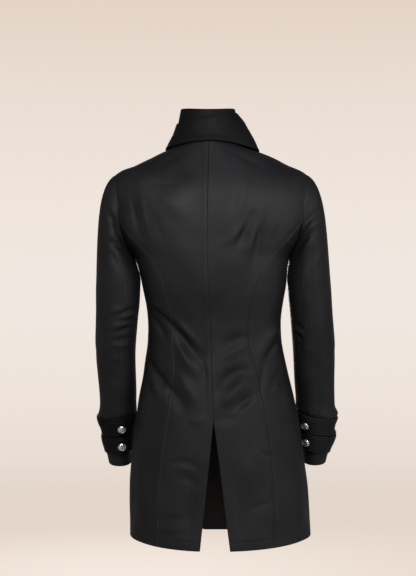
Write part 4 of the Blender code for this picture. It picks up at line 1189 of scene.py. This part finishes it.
def times(first, second):
    return maths("MULTIPLY", first, second)


def noise(place, scale, detail, roughness=0.5):
    values = {"Vector": place, "Scale": scale, "Detail": detail, "Roughness": roughness}
    return nodeIn(place.id_data, "ShaderNodeTexNoise", values).outputs["Fac"]


# A value that goes from low to high is made to go from start to end, and stays there past them
def ramp(value, low, high, start=0.0, end=1.0, curve="LINEAR"):
    values = {"Value": value, "From Min": low, "From Max": high, "To Min": start, "To Max": end}
    return nodeIn(value.id_data, "ShaderNodeMapRange", values, interpolation_type=curve).outputs[0]


def bumped(height, strength, distance, **under):
    values = {"Height": height, "Strength": strength, "Distance": distance, **under}
    return nodeIn(height.id_data, "ShaderNodeBump", values).outputs[0]


def mixColours(mask, first, second):
    node = nodeIn(mask.id_data, "ShaderNodeMix", {"Factor": mask}, data_type="RGBA")
    coloured = {socket.name: socket for socket in node.inputs if socket.type == "RGBA"}
    for label, value in (("A", first), ("B", second)):
        if isinstance(value, bpy.types.NodeSocket):
            node.id_data.links.new(value, coloured[label])
        else:
            coloured[label].default_value = (*value, 1.0)
    return [socket for socket in node.outputs if socket.type == "RGBA"][0]


# A group from its name, its inputs (None for a place, or a number's own value) and the function that works
# out its outputs from them
def makeGroup(name, inputs, work):
    tree = bpy.data.node_groups.new(name, "ShaderNodeTree")
    for label, value in inputs.items():
        kind = "NodeSocketVector" if value is None else "NodeSocketFloat"
        socket = tree.interface.new_socket(label, in_out="INPUT", socket_type=kind)
        if value is not None:
            socket.default_value = value
    outputs = work(tree, tree.nodes.new("NodeGroupInput").outputs)
    for label in outputs:
        tree.interface.new_socket(label, in_out="OUTPUT", socket_type="NodeSocketFloat")
    feed(tree.nodes.new("NodeGroupOutput"), outputs)
    return tree


effects = {  # each noise as (scale, detail) and each range as (low, high)
    "ridge": 0.35,
    "yarn": 0.15,
    "weaveNoise": (260.0, 2.0),
    "napDetail": (4.0, 0.55),
    "napRange": (0.3, 0.7),
    "lintDetail": 1.0,
    "lintRange": (0.70, 0.78),
    "fuzzNoise": (420.0, 3.0),
    "bendRange": (0.51, 0.60),
    "wearNoise": (160.0, 3.0),
}


# Twill: ridges sin(2 pi ((x + y) / pitch + noise)), crossed by yarns sin(4 pi (x - y) / pitch)
def twillWeave(tree, given):
    parts = nodeIn(tree, "ShaderNodeSeparateXYZ", {0: given["Grain"]}).outputs
    shift = times(noise(given["Grain"], *effects["weaveNoise"]), given["Unevenness"])
    diagonal = maths("DIVIDE", maths("ADD", parts["X"], parts["Y"]), given["Pitch"])
    crossing = maths("DIVIDE", maths("SUBTRACT", parts["X"], parts["Y"]), given["Pitch"])
    ridge = maths("SINE", times(maths("ADD", diagonal, shift), 2 * math.pi))
    yarn = maths("SINE", times(crossing, 4 * math.pi))
    woven = maths("ADD", times(ridge, effects["ridge"]), times(yarn, effects["yarn"]))
    height = maths("ADD", woven, 0.5)
    return {"Height": height, "Valleys": maths("SUBTRACT", 1.0, height)}


# Handling: broad soft patches where the nap lies differently, fine specks of lint, and a fuzz for relief
def napAndLint(tree, given):
    patches = noise(given["Place"], given["Patches"], *effects["napDetail"])
    specks = noise(given["Place"], given["Specks"], effects["lintDetail"])
    return {"Nap": ramp(patches, *effects["napRange"]),
            "Lint": times(ramp(specks, *effects["lintRange"]), given["Amount of lint"]),
            "Fuzz": noise(given["Place"], *effects["fuzzNoise"])}


# Wear: lighter on raised edges by the bend of the surface, and broken up by noise
def edgeWear(tree, given):
    bend = tree.nodes.new("ShaderNodeNewGeometry").outputs["Pointiness"]
    worn = times(ramp(bend, *effects["bendRange"]), noise(given["Place"], *effects["wearNoise"]))
    return {"Raised": times(worn, given["Strength"])}


groups = {
    "twill": makeGroup("twillWeave", {"Grain": None, "Pitch": 0.0012, "Unevenness": 0.4}, twillWeave),
    "nap": makeGroup("napAndLint", {"Place": None, "Patches": 9.0, "Specks": 900.0,
                                    "Amount of lint": 0.5}, napAndLint),
    "wear": makeGroup("edgeWear", {"Place": None, "Strength": 0.5}, edgeWear),
}


def useGroup(tree, kind, values):
    return nodeIn(tree, "ShaderNodeGroup", values, node_tree=groups[kind]).outputs


# A material's own node tree, its shader and the place on the piece
def newMaterial(name):
    material = bpy.data.materials.new(name)
    material.use_nodes = True
    tree = material.node_tree
    spot = tree.nodes.new("ShaderNodeTexCoord").outputs["Object"]
    return material, tree, tree.nodes["Principled BSDF"], spot


wool = {
    "dark": (0.0042, 0.0045, 0.0053),
    "light": (0.0068, 0.0072, 0.0083),
    "lint": (0.05, 0.05, 0.05),
    "valleys": (0.35, (0.003, 0.003, 0.004)),  # painted shade: share and tone that darken the twill's valleys
    "worn": (0.35, (0.024, 0.024, 0.028)),
    "pitch": 0.0012,
    "patches": 11.0,
    "wear": 0.5,
    "fuzz": (0.35, 0.0006),  # strength and depth of the relief
    "weave": (0.5, 0.00022),
    "roughness": 0.6,
    "sheen": 0.01,
    "sheenRoughness": 0.35,
    "sheenTint": (0.80, 0.85, 0.95, 1.0),
    "specular": 0.03,
    "gloss": (0.21, 0.28),  # soft shine of the pressed twill, which the nap hides at a glancing view
    "glossRoughness": 0.60,
    "glossFade": (0.30, 0.72),
    "press": (-0.42, -0.24),  # painted shade: heights between which the cloth's colour and shine are darkened, below the shoulder blades
    "yoke": (-0.125, -0.060),  # and between which they are darkened again as painted shade, up over the yoke
    "bodyDull": (0.72, 0.64),  # share of the colour and shine left below and above by this painted shade, on each kind of cloth
    "sleeveDull": (0.95, 0.72),
    "collarDull": (0.72, 1.0),
    "collarShade": 0.42,  # painted shade: how dark each copy of the body cloth is against the body's, in colour and shine
    "strapShade": {"left": 0.42, "right": 0.78},
    "sleeveShade": 0.8,
}


def makeWool(name, paintedShade, paintedShadeByHeight):
    material, tree, shader, spot = newMaterial(name)
    grain = nodeIn(tree, "ShaderNodeUVMap", uv_map="grain").outputs["UV"]
    twill = useGroup(tree, "twill", {"Grain": grain, "Pitch": wool["pitch"]})
    nap = useGroup(tree, "nap", {"Place": spot, "Patches": wool["patches"]})
    wear = useGroup(tree, "wear", {"Place": spot, "Strength": wool["wear"]})
    # Painted shade: the collar, sleeves and straps are darker copies of one cloth, the left strap darker
    # than the right
    dark, light = (tuple(value * paintedShade for value in wool[key]) for key in ("dark", "light"))
    tone = mixColours(nap["Nap"], dark, light)
    # Painted shade darkens the twill's valleys; real wear lightens the raised edges
    for mask, (share, colour) in ((twill["Valleys"], wool["valleys"]), (wear["Raised"], wool["worn"])):
        tone = mixColours(times(mask, share), tone, colour)
    tone = mixColours(nap["Lint"], tone, wool["lint"])
    height = nodeIn(tree, "ShaderNodeSeparateXYZ", {0: spot}).outputs["Z"]
    # Painted shade by height: colour and shine darker below the shoulder blades and over the yoke
    paintedShadeMask = times(ramp(height, *wool["press"], paintedShadeByHeight[0], 1.0, "SMOOTHSTEP"),
                    ramp(height, *wool["yoke"], 1.0, paintedShadeByHeight[1], "SMOOTHSTEP"))
    facing = tree.nodes.new("ShaderNodeLayerWeight").outputs["Facing"]
    gloss = times(ramp(nap["Nap"], 0.0, 1.0, *(value * paintedShade for value in wool["gloss"])),
                  ramp(facing, *wool["glossFade"], 1.0, 0.0))
    fuzz = bumped(nap["Fuzz"], *wool["fuzz"])
    feed(shader, {
        "Base Color": mixColours(paintedShadeMask, (0.0, 0.0, 0.0), tone),
        "Coat Weight": times(gloss, paintedShadeMask),
        "Coat Roughness": wool["glossRoughness"],
        "Roughness": wool["roughness"],
        "Specular IOR Level": wool["specular"] * paintedShade,
        "Sheen Weight": wool["sheen"] * paintedShade,
        "Sheen Roughness": wool["sheenRoughness"],
        "Sheen Tint": wool["sheenTint"],
        "Normal": bumped(twill["Height"], *wool["weave"], Normal=fuzz),
    })
    return material


thread = {
    "dark": (0.006, 0.006, 0.007),
    "light": (0.013, 0.013, 0.015),
    "patches": 60.0,
    "twistScale": 900.0,
    "twistBend": 3.0,
    "twist": (0.4, 0.0002),  # strength and depth of the relief
    "roughness": 0.55,
    "specular": 0.2,
}


def makeThread():
    material, tree, shader, spot = newMaterial("blackThread")
    nap = useGroup(tree, "nap", {"Place": spot, "Patches": thread["patches"]})
    twist = nodeIn(tree, "ShaderNodeTexWave", {"Vector": spot, "Scale": thread["twistScale"],
                                               "Distortion": thread["twistBend"]}).outputs["Fac"]
    feed(shader, {
        "Base Color": mixColours(nap["Nap"], thread["dark"], thread["light"]),
        "Roughness": thread["roughness"],
        "Specular IOR Level": thread["specular"],
        "Normal": bumped(twist, *thread["twist"]),
    })
    return material


silver = {
    "dark": (0.50, 0.49, 0.47),
    "light": (0.66, 0.65, 0.62),
    "patches": 220.0,
    "patina": (0.92, (0.045, 0.042, 0.038)),  # share and tone in the hollows of the relief
    "wear": 0.9,
    "worn": (0.86, 0.85, 0.82),
    "roughness": (0.22, 0.36),
    "brushing": (0.25, 0.0002),  # strength and depth of the relief
}


def makeSilver():
    material, tree, shader, spot = newMaterial("brushedSilver")
    nap = useGroup(tree, "nap", {"Place": spot, "Patches": silver["patches"]})
    wear = useGroup(tree, "wear", {"Place": spot, "Strength": silver["wear"]})
    patina = nodeIn(tree, "ShaderNodeAttribute", attribute_name="patina").outputs["Fac"]
    share, colour = silver["patina"]
    tone = mixColours(times(patina, share), mixColours(nap["Nap"], silver["dark"], silver["light"]), colour)
    feed(shader, {
        "Base Color": mixColours(wear["Raised"], tone, silver["worn"]),
        "Roughness": ramp(nap["Nap"], 0.0, 1.0, *silver["roughness"]),
        "Metallic": 1.0,
        "Normal": bumped(nap["Fuzz"], *silver["brushing"]),
    })
    return material


# Camera, floor and light

view = {
    "place": (0.0088, 3.2, -0.313),
    "pixel": 0.0022,  # metres a pixel of the photograph's height at the coat's distance
    "frameHeight": 576,
    "sensor": 36.0,
}
studio = {
    "floorZ": -1.57,
    "radius": 7.5,
    "fillet": 2.2,
    "wallTop": 2.6,
    "around": 96,
    "innermost": 0.02,
    "filletSteps": 24,
    "tones": (  # painted light: height, colour of its own even glow, brightest near the coat and darker towards the floor and the top
        (-1.57, (0.719, 0.618, 0.544)),
        (-1.4, (0.776, 0.689, 0.629)),
        (-1.02, (0.824, 0.749, 0.690)),
        (-0.37, (0.848, 0.778, 0.727)),
        (0.33, (0.832, 0.755, 0.697)),
        (1.04, (0.801, 0.705, 0.635)),
        (1.74, (0.755, 0.635, 0.552)),
    ),
    "floor": (0.015, 0.014, 0.013, 1.0),
    "floorRoughness": 0.9,
    "world": (1.0, 0.985, 0.965, 1.0),
    "worldStrength": 0.40,
    "aim": (0.0, 0.0, -0.35),  # where the lamps look
}
lamps = (  # name, place, size, watts, colour
    ("key", (-0.3, 4.0, 2.3), 1.3, 235.0, (0.96, 0.98, 1.0)),
    ("fill", (-3.2, 3.0, 0.2), 2.0, 80.0, (0.96, 0.98, 1.0)),
    ("top", (0.2, 0.9, 3.0), 1.4, 15.0, (1.0, 0.99, 0.98)),
    ("front", (0.4, -4.3, 0.1), 1.2, 150.0, (0.96, 0.98, 1.0)),
)


def makeCamera():
    data = bpy.data.cameras.new("view")
    data.sensor_fit = "VERTICAL"
    data.sensor_height = view["sensor"]
    data.lens = view["sensor"] * view["place"][1] / (view["frameHeight"] * view["pixel"])
    camera = bpy.data.objects.new("view", data)
    bpy.context.scene.view_settings.view_transform = "Standard"
    camera.location = view["place"]
    camera.rotation_euler = (math.radians(90), 0, math.radians(180))
    bpy.context.scene.collection.objects.link(camera)
    bpy.context.scene.camera = camera


# Floor and wall in one turned sheet: flat to the fillet, a quarter round, then straight up
def makeStudio():
    turns = np.linspace(0, 2 * math.pi, studio["around"], endpoint=False)
    bend = np.linspace(0, math.pi / 2, studio["filletSteps"])
    floorZ, fillet = studio["floorZ"], studio["fillet"]
    inner = studio["radius"] - fillet
    radius = np.concatenate([[studio["innermost"], inner / 2], inner + fillet * np.sin(bend),
                             [studio["radius"]]])[:, None]
    height = floorZ + np.concatenate([[0, 0], fillet * (1 - np.cos(bend)), [studio["wallTop"] - floorZ]])
    grid = np.stack([radius * np.cos(turns), radius * np.sin(turns),
                     np.broadcast_to(height[:, None], (len(radius), len(turns)))], axis=-1)
    quads, fan = turnedFaces(*grid.shape[:2])
    points = np.concatenate([grid.reshape(-1, 3), [[0, 0, floorZ]]])
    sheet = setPoints("studioFloor", points, quads.tolist() + fan(0, len(points) - 1).tolist())
    # Painted light: the sheet glows by itself in colours that change with height, over a nearly black base
    # colour
    material, tree, shader, spot = newMaterial("paleFloor")
    height = nodeIn(tree, "ShaderNodeSeparateXYZ", {0: spot}).outputs["Z"]
    glow = studio["tones"][0][1]
    for (low, _), (high, colour) in zip(studio["tones"][:-1], studio["tones"][1:]):
        glow = mixColours(ramp(height, low, high), glow, colour)
    feed(shader, {"Emission Color": glow, "Emission Strength": 1.0, "Base Color": studio["floor"],
                  "Roughness": studio["floorRoughness"]})
    sheet.data.materials.append(material)


def makeLights():
    world = bpy.data.worlds.new("studioAir")
    world.use_nodes = True
    feed(world.node_tree.nodes["Background"], {"Color": studio["world"],
                                               "Strength": studio["worldStrength"]})
    bpy.context.scene.world = world
    for name, place, size, watts, colour in lamps:
        data = bpy.data.lights.new(name, "AREA")
        data.shape = "DISK"
        data.size = size
        data.energy = watts
        data.color = colour
        lamp = bpy.data.objects.new(name, data)
        lamp.location = place
        lamp.visible_camera = False
        away = unit(np.array(place) - np.array(studio["aim"]))
        lamp.rotation_euler = (math.acos(away[2]), 0, math.atan2(away[0], -away[1]))
        bpy.context.scene.collection.objects.link(lamp)


# The whole coat

def makeSide(side, bodyWool, sleeveWool, silverMetal):
    word = sideWord(side)
    for node, places, kind in (("back", backPlaces, "back"), ("side_back", sideBackPlaces, "sideBack"),
                               ("front", frontPlaces, "front")):
        bodyPanel(f"{node}_{word}", *places(side), side, kind, bodyWool)
    print("body panels", word)
    hind, fore = sleeve["hindSeam"], sleeve["foreSeam"]
    for node, first, last in (("top_sleeve", fore - 360, hind), ("under_sleeve", hind, fore)):
        sleevePanel(f"{node}_{word}", first, last, side, sleeveWool)
    print("sleeve", word)
    # Painted light and shade: the left strap's cloth is darker and the right one's lighter
    strapWool = makeWool(f"strapWool_{word}", wool["strapShade"][word], wool["collarDull"])
    rise = strapLift(strap["lapTurn"]) + cloth["strapWall"] + strap["ribHeight"] + cloth["seamGap"]
    turn = np.array(strap["start"][word] + strap["buttonTurn"])
    for level, top in sleeve["straps"][word].items():
        strapBand(f"strap_{level}_{word}", top, side, strapWool)
        down = strapDown(turn, top, side)
        normal = sleeveNormal(turn, down, side)
        buttonPiece(f"button_strap_{level}_{word}", sleevePoint(turn, down, side) + normal * rise, normal,
                    silverMetal)
    print("straps", word)


def makeCoat():
    bodyWool = makeWool("blackWool", 1.0, wool["bodyDull"])
    # Painted shade: darker copies of the body cloth for the collar and the sleeves
    collarWool = makeWool("collarWool", wool["collarShade"], wool["collarDull"])
    sleeveWool = makeWool("sleeveWool", wool["sleeveShade"], wool["sleeveDull"])
    silverMetal = makeSilver()
    for side in (1, -1):
        makeSide(side, bodyWool, sleeveWool, silverMetal)
    standEnd = float(frontAngle(-(body["lap"] + body["lapEase"]), np.array(0.0)))
    collarPiece("collarStandCloth", "collar_stand", standPoint, standEnd, -1, collarWool)
    collarPiece("collarLeafCloth", "collar_leaf", leafPoint, collar["leafEnd"], 1, collarWool)
    print("collar")
    angle = np.array(180.0)
    for i, drop in enumerate(np.linspace(*button["frontDrops"], button["frontCount"])):
        normal = bodyNormal(angle, drop)
        rise = bodyHeight(angle[None], np.array([drop]))[0] + body["lapLift"] + cloth["seamGap"]
        buttonPiece(f"button_front_{i + 1}", plainBody(angle, drop) + normal * rise, normal, silverMetal)
    print("buttons")
    stitchPiece("stitching", makeThread())


makeCamera()
makeStudio()
makeLights()
print("camera, floor and lights")
makeCoat()
